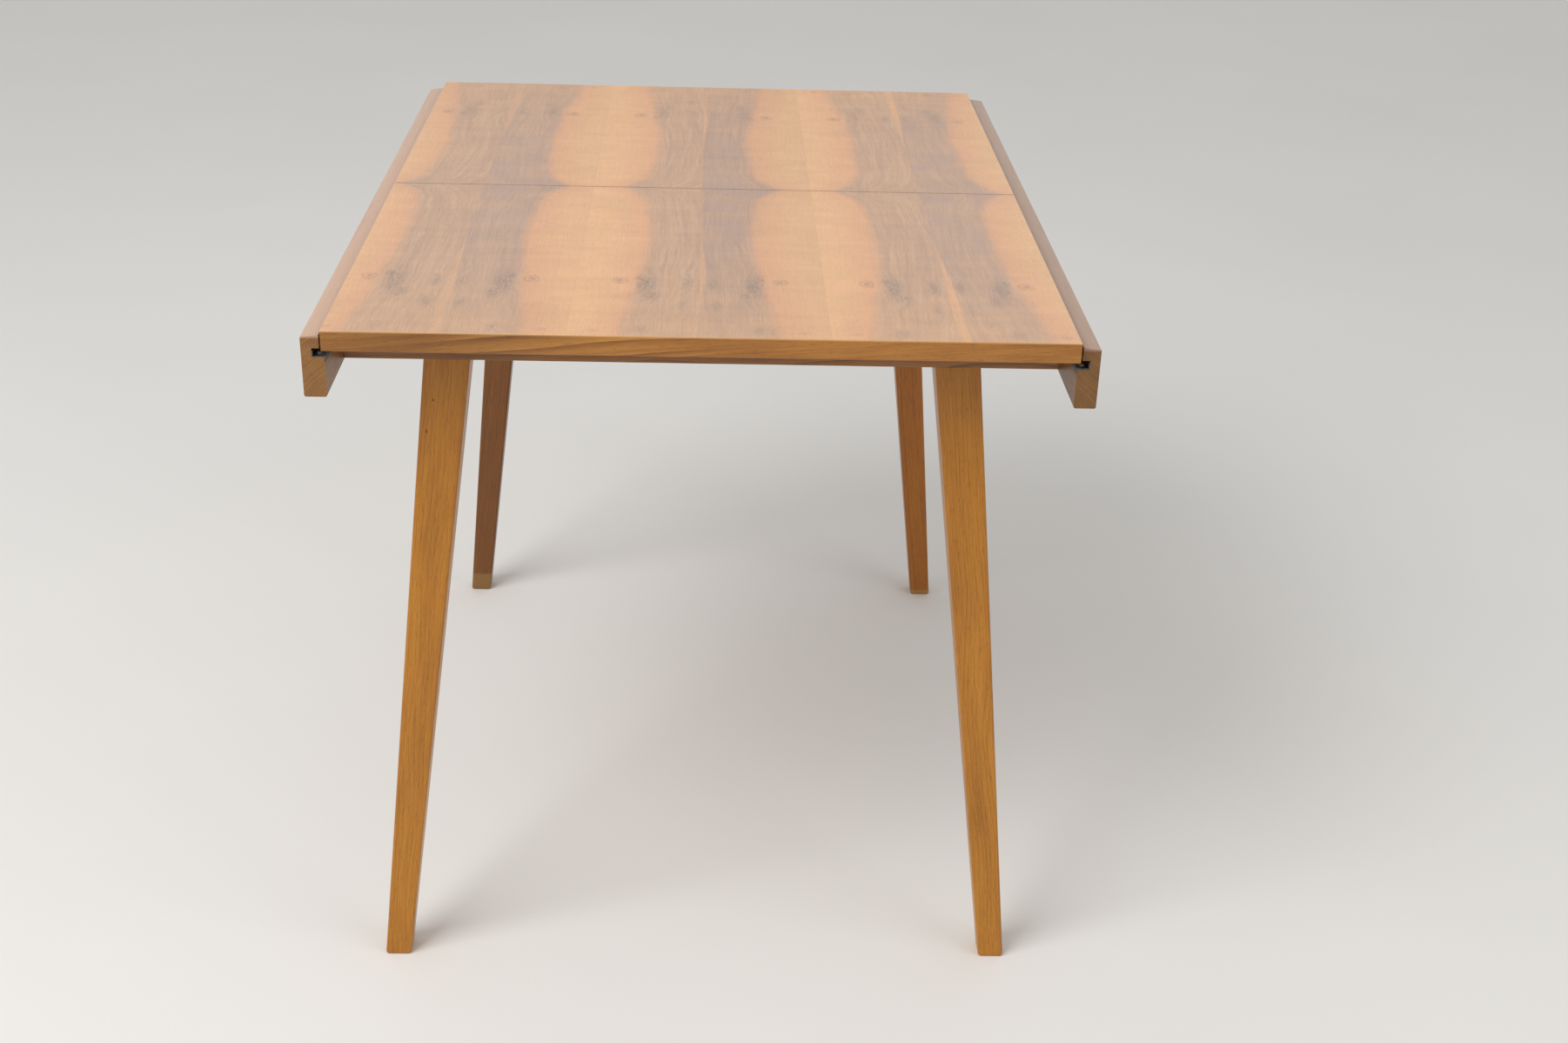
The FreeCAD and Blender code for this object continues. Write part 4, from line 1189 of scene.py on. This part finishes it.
@dataclass(frozen=True)
class TurnedPiece:
    """A fastener or dowel turned on a lathe, with the middle of its head at the origin and its tip above.

    Attributes:
        outline: Half the section: radius and height of each corner in millimetres.
        sides: Number of sides.
        slot: Width and depth of a slot sawn across the head, or nothing.
        corners: Corner radius of the hexagon that the blank is milled to, or nothing.
        flutes: How deep every other side is pressed in, for glue, or nothing.
        twist: How far each copy is turned from the last, in degrees, as no two screws stop at the same angle.
    """

    outline: Outline
    sides: int = 32
    slot: tuple[float, float] | None = None
    corners: float | None = None
    flutes: float | None = None
    twist: float = 67.0

    def turn(self) -> bpy.types.Object:
        """Draw the outline corner by corner and spin it round the upright axis.

        Returns:
            The round blank.
        """
        bpy.ops.object.select_all(action="DESELECT")
        bpy.ops.mesh.primitive_plane_add(size=metres(1.0))
        blank = bpy.context.active_object
        edit_points(blank)
        bpy.ops.mesh.merge(type="CENTER")
        corners = [Vector((metres(radius), 0.0, metres(height))) for radius, height in self.outline]
        bpy.ops.transform.translate(value=corners[0])
        for here, there in zip(corners, corners[1:]):
            bpy.ops.mesh.extrude_vertices_move(TRANSFORM_OT_translate={"value": there - here})
        bpy.ops.mesh.select_all(action="SELECT")
        bpy.ops.mesh.spin(steps=self.sides, angle=math.tau, center=(0.0, 0.0, 0.0), axis=(0.0, 0.0, 1.0))
        bpy.ops.mesh.select_all(action="SELECT")
        bpy.ops.mesh.remove_doubles(threshold=metres(MERGE))
        bpy.ops.mesh.normals_make_consistent(inside=False)
        bpy.ops.object.mode_set(mode="OBJECT")
        return blank

    @staticmethod
    def work(blank: bpy.types.Object, tool: bpy.types.Object, how: Cut) -> None:
        """Cut a blank with a tool, then throw the tool away.

        Args:
            blank: The piece in the making.
            tool: The cutting shape.
            how: How the tool works.
        """
        cut = blank.modifiers.new("cut", "BOOLEAN")
        cut.solver = "EXACT"
        cut.operation = how.value
        cut.object = tool
        pick_only(blank)
        bpy.ops.object.modifier_apply(modifier=cut.name)
        bpy.data.objects.remove(tool, do_unlink=True)

    def press_flutes(self, blank: bpy.types.Object) -> None:
        """Press in every other ridge between the ends.

        Args:
            blank: The round blank.
        """
        widest = metres(max(radius for radius, _ in self.outline))
        step = math.tau / self.sides
        edit_points(blank, chosen=False)
        mesh = bmesh.from_edit_mesh(blank.data)
        for vertex in mesh.verts:
            outer = vertex.co.xy.length > RIDGE_SHARE * widest
            vertex.select_set(outer and round(math.atan2(vertex.co.y, vertex.co.x) / step) % 2 == 1)
        bmesh.update_edit_mesh(blank.data)
        share = 1 - metres(self.flutes) / widest
        bpy.ops.transform.resize(value=(share, share, 1.0), center_override=(0.0, 0.0, 0.0))
        bpy.ops.object.mode_set(mode="OBJECT")

    def make(self) -> bpy.types.Object:
        """Turn, saw, mill and smooth one piece.

        Returns:
            The pattern that is copied.
        """
        blank = self.turn()
        high = metres(max(height for _, height in self.outline))
        if self.slot:
            wide, deep = self.slot
            bpy.ops.object.select_all(action="DESELECT")
            saw = (high + metres(SAW_EXTRA), metres(wide), metres(2 * deep))
            bpy.ops.mesh.primitive_cube_add(size=1.0, scale=saw)
            self.work(blank, bpy.context.active_object, Cut.SAW)
        if self.corners:
            bpy.ops.object.select_all(action="DESELECT")
            bpy.ops.mesh.primitive_cylinder_add(vertices=6, radius=metres(self.corners),
                                                depth=CUTTER_TIMES * high)
            self.work(blank, bpy.context.active_object, Cut.MILL)
        if self.flutes:
            self.press_flutes(blank)
        smooth(blank)
        return blank

    def set_out(self, name: str, seats: Sequence[Seat]) -> bpy.types.Object:
        """Make one piece, copy it to every seat, and gather the copies.

        Args:
            name: Name of the gathered piece.
            seats: Place of each head in millimetres, and the way it points.

        Returns:
            The gathered piece.
        """
        pattern = self.make()
        copies = []
        for number, (place, way) in enumerate(seats):
            pick_only(pattern)
            bpy.ops.object.duplicate(linked=False)
            copy = bpy.context.active_object
            twist = Matrix.Rotation(number * math.radians(self.twist), 4, "Z")
            aim = Vector(way.value).to_track_quat("Z", "Y").to_matrix().to_4x4()
            copy.matrix_world = Matrix.Translation([metres(size) for size in place]) @ aim @ twist
            bpy.ops.object.transform_apply(location=True, rotation=True, scale=True)
            copies.append(copy)
        bpy.data.objects.remove(pattern, do_unlink=True)
        pick_only(copies[0])
        for copy in copies:
            copy.select_set(True)
        bpy.ops.object.join()
        piece = bpy.context.active_object
        piece.name = name
        piece.data.name = name
        return piece


def eased(node: bpy.types.Object, name: str, radius: float,
          chosen: Callable[[Vector, Vector], bool]) -> bpy.types.Object:
    """A copy of a planed piece with some of its sharp edges eased.

    Args:
        node: The CAD node.
        name: Name of the copy.
        radius: Width of the easing in millimetres.
        chosen: Whether the edge between two points, in millimetres, is eased.

    Returns:
        The copy.
    """
    piece = bpy.data.objects.new(name, node.data.copy())
    bpy.context.scene.collection.objects.link(piece)
    edit_points(piece)
    bpy.ops.mesh.customdata_custom_splitnormals_clear()
    bpy.ops.mesh.remove_doubles(threshold=metres(MERGE))
    bpy.ops.mesh.dissolve_limited(angle_limit=FLAT_ANGLE)
    bpy.ops.mesh.select_mode(type="EDGE")
    bpy.ops.mesh.select_all(action="DESELECT")
    mesh = bmesh.from_edit_mesh(piece.data)
    for edge in mesh.edges:
        sharp = edge.calc_face_angle(0.0) > SHARP_ANGLE
        edge.select_set(sharp and chosen(*(1000 * vertex.co for vertex in edge.verts)))
    LOG.info("%s: %d edges eased", name, sum(edge.select for edge in mesh.edges))
    bmesh.update_edit_mesh(piece.data)
    bpy.ops.mesh.bevel(offset=metres(radius), segments=3, affect="EDGES")
    bpy.ops.object.mode_set(mode="OBJECT")
    smooth(piece)
    return piece


class Palette:
    """Materials made once from their finishes."""

    def __init__(self) -> None:
        """Start with no materials."""
        self.made: dict[Finish, bpy.types.Material] = {}

    def of(self, finish: Finish) -> bpy.types.Material:
        """The material of a finish, made the first time that it is asked for.

        Args:
            finish: The finish.

        Returns:
            Its material.
        """
        if finish not in self.made:
            self.made[finish] = finish.value.material()
        return self.made[finish]

    def dress(self, piece: bpy.types.Object, finish: Finish) -> None:
        """Give a piece one finish all over.

        Args:
            piece: A CAD node or a new piece.
            finish: The finish.
        """
        slots = piece.material_slots
        if not slots:
            piece.data.materials.append(self.of(finish))
        for slot in slots:
            slot.material = self.of(finish)
        LOG.info("%s: %s", piece.name, self.of(finish).name)


@dataclass
class SubAssembly:
    """Pieces of the table that are dressed together.

    Attributes:
        palette: Where the materials come from.
        nodes: The CAD nodes by name.
    """

    palette: Palette
    nodes: dict[str, bpy.types.Object]

    def dress_nodes(self, finish: Finish, *names: str) -> None:
        """Give the CAD nodes of these names a finish."""
        for name in names:
            self.palette.dress(self.nodes[name], finish)

    def fit(self, piece: bpy.types.Object, finish: Finish, body: str, slot: str, *names: str) -> None:
        """Dress a new piece and let it stand for CAD nodes.

        Args:
            piece: The new piece, in its place.
            finish: Its finish.
            body: The CAD body that it moves with.
            slot: The record's material slot; not used.
            *names: The nodes that it stands for.
        """
        self.palette.dress(piece, finish)
        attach(piece, body)
        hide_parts(*names)


def fluted_dowel(length: float) -> TurnedPiece:
    """A fluted dowel, 8 mm thick, with chamfered ends.

    Args:
        length: Its length in millimetres.

    Returns:
        The dowel.
    """
    chamfer = 1.2
    outline = ((0.0, 0.0), (3.0, 0.0), (4.0, chamfer), (4.0, length - chamfer), (3.0, length), (0.0, length))
    return TurnedPiece(outline, sides=24, flutes=0.22)


def wood_screw(length: float) -> TurnedPiece:
    """A slotted countersunk wood screw with a pointed tip.

    Args:
        length: Length over all in millimetres.

    Returns:
        The screw.
    """
    shank = 0.4 * length
    tip = 3.0
    neck = ((0.0, 0.0), (3.8, 0.0), (4.0, 0.2), (2.0, 3.0), (2.0, shank))
    turns = thread(crest=2.0, root=1.5, start=shank, end=length - tip, pitch=1.4)
    return TurnedPiece(neck + turns + ((0.0, length),), sides=24, slot=(1.0, 1.1))


def at_corners(across: float, along: float, high: float, way: Way) -> list[Seat]:
    """One seat in each quarter of the table, at these distances from its middle in millimetres."""
    return [((side * across, end * along, high), way) for side in SIDES for end in SIDES]


@dataclass
class HalfLeaf(SubAssembly):
    """One half of the top with its runners.

    Attributes:
        end: Which end of the table it is.
        toward: Sign of that end along the table.
        screw_across, screws_along: Where the runner screws sit, in millimetres.
        runner_under: Height of the runners' undersides.
        screw_long: Length of the runner screws.
        top, under: Heights of the leaf's top and underside.
        long, half_wide, corner: Length of the leaf, half its width and the size of its rounded corners.
        arris: Width of the easing along the top and along the underside.
    """

    end: str = "front"
    toward: float = -1.0
    screw_across: float = 348.2
    screws_along: tuple[float, ...] = (32.4, 140.4, 248.4)
    runner_under: float = 731.6
    screw_long: float = 20.0
    top: float = 760.0
    under: float = 739.0
    long: float = 490.0
    half_wide: float = 362.0
    corner: float = 4.0
    arris: tuple[float, float] = (0.55, 1.7)

    def build(self) -> None:
        """Ease the leaf's edges, drive the runner screws and dress everything."""
        body = f"{self.end}_leaf"
        # Rubbed round by wiping and handling: the top's outer edges and the lower ones
        above, below = self.arris
        for name, node, arris, chosen, finish, slot in (
            ("top_veneer", "veneer", above, self.upper_edge, Finish.TOP_VENEER, "walnut_veneer"),
            ("end_strip", "lipping", below, self.lower_edge, Finish.LIPPING, "walnut_lipping"),
            ("core_board", "panel", below, self.lower_edge, Finish.CORE, "blockboard_core"),
        ):
            layer = eased(self.nodes[f"{body}_{node}"], f"{self.end}_{name}", arris, chosen)
            self.fit(layer, finish, body, slot, f"{body}_{node}")
        self.dress_nodes(Finish.RUNNER, *(f"{self.end}_{side}_runner" for side in SIDE_NAMES))
        seats = [
            ((side * self.screw_across, self.toward * along, self.runner_under), Way.UP)
            for side in SIDES for along in self.screws_along
        ]
        screws = wood_screw(self.screw_long).set_out(f"{self.end}_slotted_runner_screws", seats)
        self.fit(screws, Finish.ZINC, body, "zinc_steel", f"{self.end}_runner_screws")

    def upper_edge(self, one: Vector, two: Vector) -> bool:
        """Whether an edge runs along the top, anywhere but at the seam."""
        return min(one.z, two.z) > self.top - NEAR and max(abs(one.y), abs(two.y)) > self.corner

    def lower_edge(self, one: Vector, two: Vector) -> bool:
        """Whether an edge runs along the underside, at the leaf's outer end or at one of its sides.

        Args:
            one, two: The edge's ends in millimetres.

        Returns:
            Whether it does.
        """
        ends = (one, two)
        low = all(abs(point.z - self.under) < NEAR for point in ends)
        outer = all(self.toward * point.y > self.long - self.corner for point in ends)
        aside = all(abs(point.x) > self.half_wide - NEAR for point in ends) and abs(one.x - two.x) < NEAR
        return low and (outer or aside)


@dataclass
class SeamFittings(SubAssembly):
    """Dowels and swing hooks at the seam between the half leaves.

    Attributes:
        dowels_across: Where the dowels lie across the table, in millimetres.
        dowel_high: Height of the dowels.
        dowel_back: How far each end of a dowel lies from the seam.
        catch_across, catch_along, head_under: Where the pivots and studs sit.
        plate_arris: Width of the easing of the hooks' edges.
        pivot, stud: A pivot screw and a stud.
    """

    dowels_across: tuple[float, ...] = (-240.0, 0.0, 240.0)
    dowel_high: float = 749.5
    dowel_back: float = 16.4
    catch_across: float = 235.0
    catch_along: float = 30.0
    head_under: float = 733.9
    plate_arris: float = 0.45
    pivot: TurnedPiece = TurnedPiece(
        ((0.0, 0.0), (4.8, 0.0), (5.6, 0.35), (6.0, 1.0), (6.0, 2.0), (3.0, 2.0), (3.0, 9.0))
        + thread(crest=3.0, root=2.4, start=9.0, end=15.0, pitch=1.5) + ((0.0, 17.1),), slot=(1.3, 1.0))
    stud: TurnedPiece = TurnedPiece(
        ((0.0, 0.0), (2.6, 0.12), (4.2, 0.6), (4.9, 1.3), (5.0, 2.0), (3.0, 2.0), (3.0, 16.0), (2.2, 17.1),
         (0.0, 17.1)))

    def build(self) -> None:
        """Make the dowels, pivots, studs and hooks, and dress them."""
        seats = [((across, -self.dowel_back, self.dowel_high), Way.BACK) for across in self.dowels_across]
        dowels = fluted_dowel(2 * self.dowel_back).set_out("fluted_seam_dowels", seats)
        self.fit(dowels, Finish.DOWEL, "front_leaf", "beech_dowel", "seam_dowels")
        for name, piece, toward, body, node in (
            ("slotted_catch_pivots", self.pivot, -1, "front_leaf", "catch_pivot_screws"),
            ("domed_catch_studs", self.stud, 1, "back_leaf", "catch_studs"),
        ):
            heads = [((side * self.catch_across, toward * self.catch_along, self.head_under), Way.UP)
                     for side in SIDES]
            self.fit(piece.set_out(name, heads), Finish.ZINC, body, "zinc_steel", node)
        for side in SIDE_NAMES:
            plate = eased(self.nodes[f"{side}_catch_hook"], f"{side}_pressed_hook", self.plate_arris,
                          lambda one, two: abs(one.z - two.z) < NEAR)
            self.fit(plate, Finish.HOOK, f"{side}_catch", "catch_steel", f"{side}_catch_hook")


@dataclass
class InsertLeaf(SubAssembly):
    """The stored insert leaf.

    Attributes:
        dowels_along, dowel_across, dowel_high: Where its dowels lie, in millimetres.
        dowel_long: Length of the dowels.
        screw_across, screw_along, batten_under: Where the batten screws sit.
        screw_long: Length of the batten screws.
    """

    dowels_along: tuple[float, ...] = (-240.0, 0.0, 240.0)
    dowel_across: float = 183.6
    dowel_high: float = 727.5
    dowel_long: float = 32.0
    screw_across: float = 155.0
    screw_along: float = 344.5
    batten_under: float = 709.3
    screw_long: float = 20.0

    def build(self) -> None:
        """Dress the leaf and its battens, drive the screws and set the dowels."""
        self.dress_nodes(Finish.INSERT_VENEER, "insert_veneer")
        self.dress_nodes(Finish.CORE, "insert_panel")
        self.dress_nodes(Finish.BATTEN, "insert_front_batten", "insert_back_batten")
        seats = at_corners(self.screw_across, self.screw_along, self.batten_under, Way.UP)
        screws = wood_screw(self.screw_long).set_out("slotted_batten_screws", seats)
        self.fit(screws, Finish.ZINC, "insert_leaf", "zinc_steel", "insert_batten_screws")
        seats = [((self.dowel_across, along, self.dowel_high), Way.RIGHT) for along in self.dowels_along]
        dowels = fluted_dowel(self.dowel_long).set_out("fluted_insert_dowels", seats)
        self.fit(dowels, Finish.DOWEL, "insert_leaf", "beech_dowel", "insert_dowels")


@dataclass
class Frame(SubAssembly):
    """Rails, groove liners, cross boards, blocks, legs and their fixings.

    Attributes:
        rail_end, rail_crown: How far the rails reach each way, and above which height their top edges lie.
        rail_arris, board_arris: Widths of the easing of the rails' and cross boards' edges.
        bolt_at, bolt_top, block_top, nut_under: Where the leg bolts, washers and nuts sit.
        pins_along, pin_head, pin_high: Where the liner pins sit.
        stop_at, stop_head: Where the stop screws sit.
        block_screws_along, block_screw_across: Where the upright screws of the corner blocks sit.
        rail_screw_start, rail_screw_along, rail_screw_high: Where their level screws sit.
        block_screw_long, rail_screw_long: Lengths of the upright and the level screws.
        pin, stop, bolt, washer, nut: One of each.
    """

    rail_end: float = 483.0
    rail_crown: float = 748.0
    rail_arris: float = 0.9
    board_arris: float = 1.2
    bolt_at: tuple[float, float] = (258.0, 364.5)
    bolt_top: float = 736.1
    block_top: float = 725.0
    nut_under: float = 726.6
    pins_along: tuple[float, ...] = (-434.7, -217.35, 0.0, 217.35, 434.7)
    pin_head: float = 358.9
    pin_high: float = 727.9
    stop_at: tuple[float, float] = (366.1, 474.4)
    stop_head: float = 734.8
    block_screws_along: tuple[float, ...] = (317.0, 361.0)
    block_screw_across: float = 345.5
    block_screw_long: float = 26.0
    rail_screw_start: float = 330.5
    rail_screw_along: float = 339.0
    rail_screw_high: float = 717.0
    rail_screw_long: float = 44.0
    pin: TurnedPiece = TurnedPiece(
        ((0.0, 0.0), (1.1, 0.1), (1.75, 0.4), (2.0, 0.8), (0.8, 0.8), (0.8, 9.4), (0.0, 11.0)), sides=16)
    stop: TurnedPiece = TurnedPiece(
        ((0.0, 0.0), (1.5, 0.2), (2.6, 0.8), (3.3, 1.8), (3.5, 2.9), (3.5, 3.5), (1.75, 3.5), (1.75, 9.0))
        + thread(crest=1.75, root=1.3, start=9.0, end=17.0, pitch=1.3) + ((0.0, 19.5),), sides=24,
        slot=(0.9, 1.2))
    bolt: TurnedPiece = TurnedPiece(
        ((0.0, 0.0), (3.2, 0.0), (3.9, 0.7))
        + thread(crest=4.0, root=3.45, start=0.9, end=22.0, pitch=1.25)
        + ((4.0, 22.5), (4.0, 92.5), (3.4, 93.1), (0.0, 93.1)))
    washer: TurnedPiece = TurnedPiece(
        ((4.05, 0.0), (8.6, 0.0), (9.0, 0.4), (9.0, 1.2), (8.6, 1.6), (4.05, 1.6), (4.05, 0.0)))
    nut: TurnedPiece = TurnedPiece(
        ((4.6, 0.0), (6.6, 0.0), (7.5, 0.55), (7.5, 5.95), (6.6, 6.5), (4.6, 6.5), (4.05, 5.95), (4.05, 0.55),
         (4.6, 0.0)), sides=48, corners=7.5)

    def build(self) -> None:
        """Dress the frame from the top down, with its fasteners."""
        self.build_rails()
        self.build_boards()
        self.build_leg_fixings()
        self.dress_nodes(Finish.DOWEL, "leg_dowels")
        self.dress_nodes(Finish.LEG, "front_left_leg", "front_right_leg")
        # The back legs' finishes are painted darker as painted shade
        self.dress_nodes(Finish.LEG_DEEP_SHADE, "back_left_leg")
        self.dress_nodes(Finish.LEG_HALF_SHADE, "back_right_leg")

    def build_rails(self) -> None:
        """Ease the rails, and line their grooves."""
        for side in SIDE_NAMES:
            rail = eased(self.nodes[f"{side}_rail"], f"{side}_eased_rail", self.rail_arris, self.rail_edge)
            self.fit(rail, Finish.RAIL, "frame", "stained_rail", f"{side}_rail")
        self.dress_nodes(Finish.LINER, "left_track_liner", "right_track_liner")
        seats = [
            ((side * self.pin_head, along, self.pin_high), OUTWARDS[side])
            for side in SIDES for along in self.pins_along
        ]
        pins = self.pin.set_out("domed_track_pins", seats)
        self.fit(pins, Finish.ZINC, "frame", "zinc_steel", "track_pins")
        # The stop screws' finish is painted dark as painted shade in the grooves
        stops = self.stop.set_out("slotted_stop_screws", at_corners(*self.stop_at, self.stop_head, Way.DOWN))
        self.fit(stops, Finish.GROOVE_SHADED_STEEL, "frame", "zinc_steel", "stop_screws")

    def rail_edge(self, one: Vector, two: Vector) -> bool:
        """Whether a rail's edge is one of the two along its top."""
        return min(one.z, two.z) > self.rail_crown and abs(one.y - two.y) > self.rail_end

    def build_boards(self) -> None:
        """Ease the cross boards, and screw their corner blocks to the rails."""
        for place in ("front", "middle", "back"):
            board = eased(self.nodes[f"{place}_bearer"], f"{place}_cross_board", self.board_arris,
                          lambda one, two: abs(one.x - two.x) > self.rail_screw_start)
            self.fit(board, Finish.BEARER, "frame", "stained_bearer", f"{place}_bearer")
        self.dress_nodes(Finish.PINE, "storage_cleats")
        for end in ("front", "back"):
            for side in SIDE_NAMES:
                self.dress_nodes(Finish.PINE, f"{end}_{side}_leg_block", f"{end}_{side}_corner_block")
        seats = [
            ((side * self.block_screw_across, end * along, self.block_top), Way.DOWN)
            for side in SIDES for end in SIDES for along in self.block_screws_along
        ]
        short = wood_screw(self.block_screw_long).set_out("slotted_block_screws", seats)
        seats = [
            ((side * self.rail_screw_start, end * self.rail_screw_along, self.rail_screw_high),
             OUTWARDS[side])
            for side in SIDES for end in SIDES
        ]
        long = wood_screw(self.rail_screw_long).set_out("slotted_rail_screws", seats)
        for screws in (short, long):
            self.fit(screws, Finish.ZINC, "frame", "zinc_steel", "corner_block_screws")

    def build_leg_fixings(self) -> None:
        """Set a bolt, a washer and a nut over each leg."""
        for name, piece, high, way, node in (
            ("threaded_leg_bolts", self.bolt, self.bolt_top, Way.DOWN, "leg_bolts"),
            ("round_leg_washers", self.washer, self.block_top, Way.UP, "leg_washers"),
            ("hexagon_leg_nuts", self.nut, self.nut_under, Way.UP, "leg_nuts"),
        ):
            fixings = piece.set_out(name, at_corners(*self.bolt_at, high, way))
            self.fit(fixings, Finish.ZINC, "frame", "zinc_steel", node)


@dataclass
class Studio:
    """Plain pale floor, soft light and the camera.

    Attributes:
        floor_half: Half the floor's side in metres.
        floor_colour: Colour of the floor.
        sky: Strength of the even light from all round.
        lamps: Place, aim, side and power of each soft lamp.
        focal_pixels: The camera's focal length in pixels of the photograph.
        image_wide: The photograph's width in pixels.
        eye: Where the camera stands.
        yaw, pitch, roll: How it is turned, in degrees.
    """

    floor_half: float = 9.0
    floor_colour: str = "#EAE8E4"
    sky: float = 0.55
    lamps: tuple[tuple[Point, Point, float, float], ...] = (
        ((-2.2, -2.0, 3.5), (0.0, 0.0, 0.5), 2.4, 106.0),
        ((2.6, -1.8, 2.4), (0.0, 0.0, 0.5), 2.0, 15.0),
    )
    focal_pixels: float = 2285.81
    image_wide: float = 1802.0
    eye: Point = (0.0020035, -2.264319, 1.429977)
    yaw: float = 2.5714
    pitch: float = 25.9254
    roll: float = 1.8728

    def build(self) -> None:
        """Make the floor, the sky, the lamps and the camera."""
        self.make_floor()
        self.make_sky()
        for number, lamp in enumerate(self.lamps):
            self.make_lamp(number, *lamp)
        self.make_camera()
        bpy.context.scene.view_settings.view_transform = "Standard"

    def make_floor(self) -> None:
        """A pale matt floor with a trace of mottling."""
        bpy.ops.object.select_all(action="DESELECT")
        bpy.ops.mesh.primitive_plane_add(size=2 * self.floor_half, location=(0.0, 0.0, 0.0))
        floor = bpy.context.active_object
        floor.name = "studio_floor"
        material, tree, shader = blank_material("Pale matt studio floor")
        place = add(tree, "ShaderNodeTexCoord")
        mottle = add(tree, NOISE, {"Vector": place.outputs["Object"], "Scale": 1.6, "Detail": 5.0})
        tint = add(tree, RANGE, {"Value": mottle, "To Min": 0.96, "To Max": 1.03})
        grey = add(tree, JOIN, {0: tint, 1: tint, 2: tint})
        colour = add(tree, VECTOR, {0: grey, 1: linear(self.floor_colour)[:3]}, operation="MULTIPLY")
        fill(tree, shader, {"Base Color": colour, "Roughness": 0.8})
        floor.data.materials.append(material)

    def make_sky(self) -> None:
        """Even light from all round, which the camera and reflections see as white."""
        world = bpy.data.worlds.new("studio_sky")
        world.use_nodes = True
        tree = world.node_tree
        path = add(tree, "ShaderNodeLightPath")
        seen = path.outputs["Is Camera Ray"]
        for ray in ("Is Glossy Ray", "Is Transmission Ray"):
            seen = add(tree, MATH, {0: seen, 1: path.outputs[ray]}, operation="MAXIMUM")
        strength = add(tree, RANGE, {"Value": seen, "To Min": self.sky, "To Max": 1.0})
        fill(tree, tree.nodes["Background"], {"Color": (1.0, 1.0, 1.0, 1.0), "Strength": strength})
        bpy.context.scene.world = world

    def make_lamp(self, number: int, place: Point, aim: Point, side: float, power: float) -> None:
        """A large soft lamp.

        Args:
            number: Its number.
            place: Where it hangs.
            aim: Where it points.
            side: Length of its side in metres.
            power: Its power in watts.
        """
        light = bpy.data.lights.new(f"soft_lamp_{number}", "AREA")
        light.size = side
        light.energy = power
        lamp = bpy.data.objects.new(light.name, light)
        lamp.location = place
        lamp.rotation_euler = (Vector(aim) - Vector(place)).to_track_quat("-Z", "Y").to_euler()
        bpy.context.scene.collection.objects.link(lamp)

    def make_camera(self) -> None:
        """The camera at the photograph's place and angle."""
        yaw, pitch, roll = (math.radians(angle) for angle in (self.yaw, self.pitch, self.roll))
        forward = Vector((math.sin(yaw) * math.cos(pitch), math.cos(yaw) * math.cos(pitch), -math.sin(pitch)))
        level = Vector((math.cos(yaw), -math.sin(yaw), 0.0))
        upright = level.cross(forward)
        right = math.cos(roll) * level + math.sin(roll) * upright
        up = -math.sin(roll) * level + math.cos(roll) * upright
        lens = bpy.data.cameras.new("photograph_camera")
        lens.sensor_fit = "HORIZONTAL"
        lens.sensor_width = 36.0
        lens.lens = self.focal_pixels * lens.sensor_width / self.image_wide
        camera = bpy.data.objects.new(lens.name, lens)
        camera.matrix_world = Matrix((right, up, -forward)).transposed().to_4x4()
        camera.location = self.eye
        bpy.context.scene.collection.objects.link(camera)
        bpy.context.scene.camera = camera


def main() -> None:
    """Load the frame, dress every sub-assembly, and set up the studio."""
    logging.basicConfig(level=logging.INFO, format="%(name)s: %(message)s")
    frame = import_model()
    palette = Palette()
    nodes = frame["nodes"]
    assemblies = (
        Frame(palette, nodes),
        HalfLeaf(palette, nodes, "front", -1.0),
        HalfLeaf(palette, nodes, "back", 1.0),
        SeamFittings(palette, nodes),
        InsertLeaf(palette, nodes),
    )
    for assembly in assemblies:
        assembly.build()
    Studio().build()


if __name__ == "__main__":
    main()
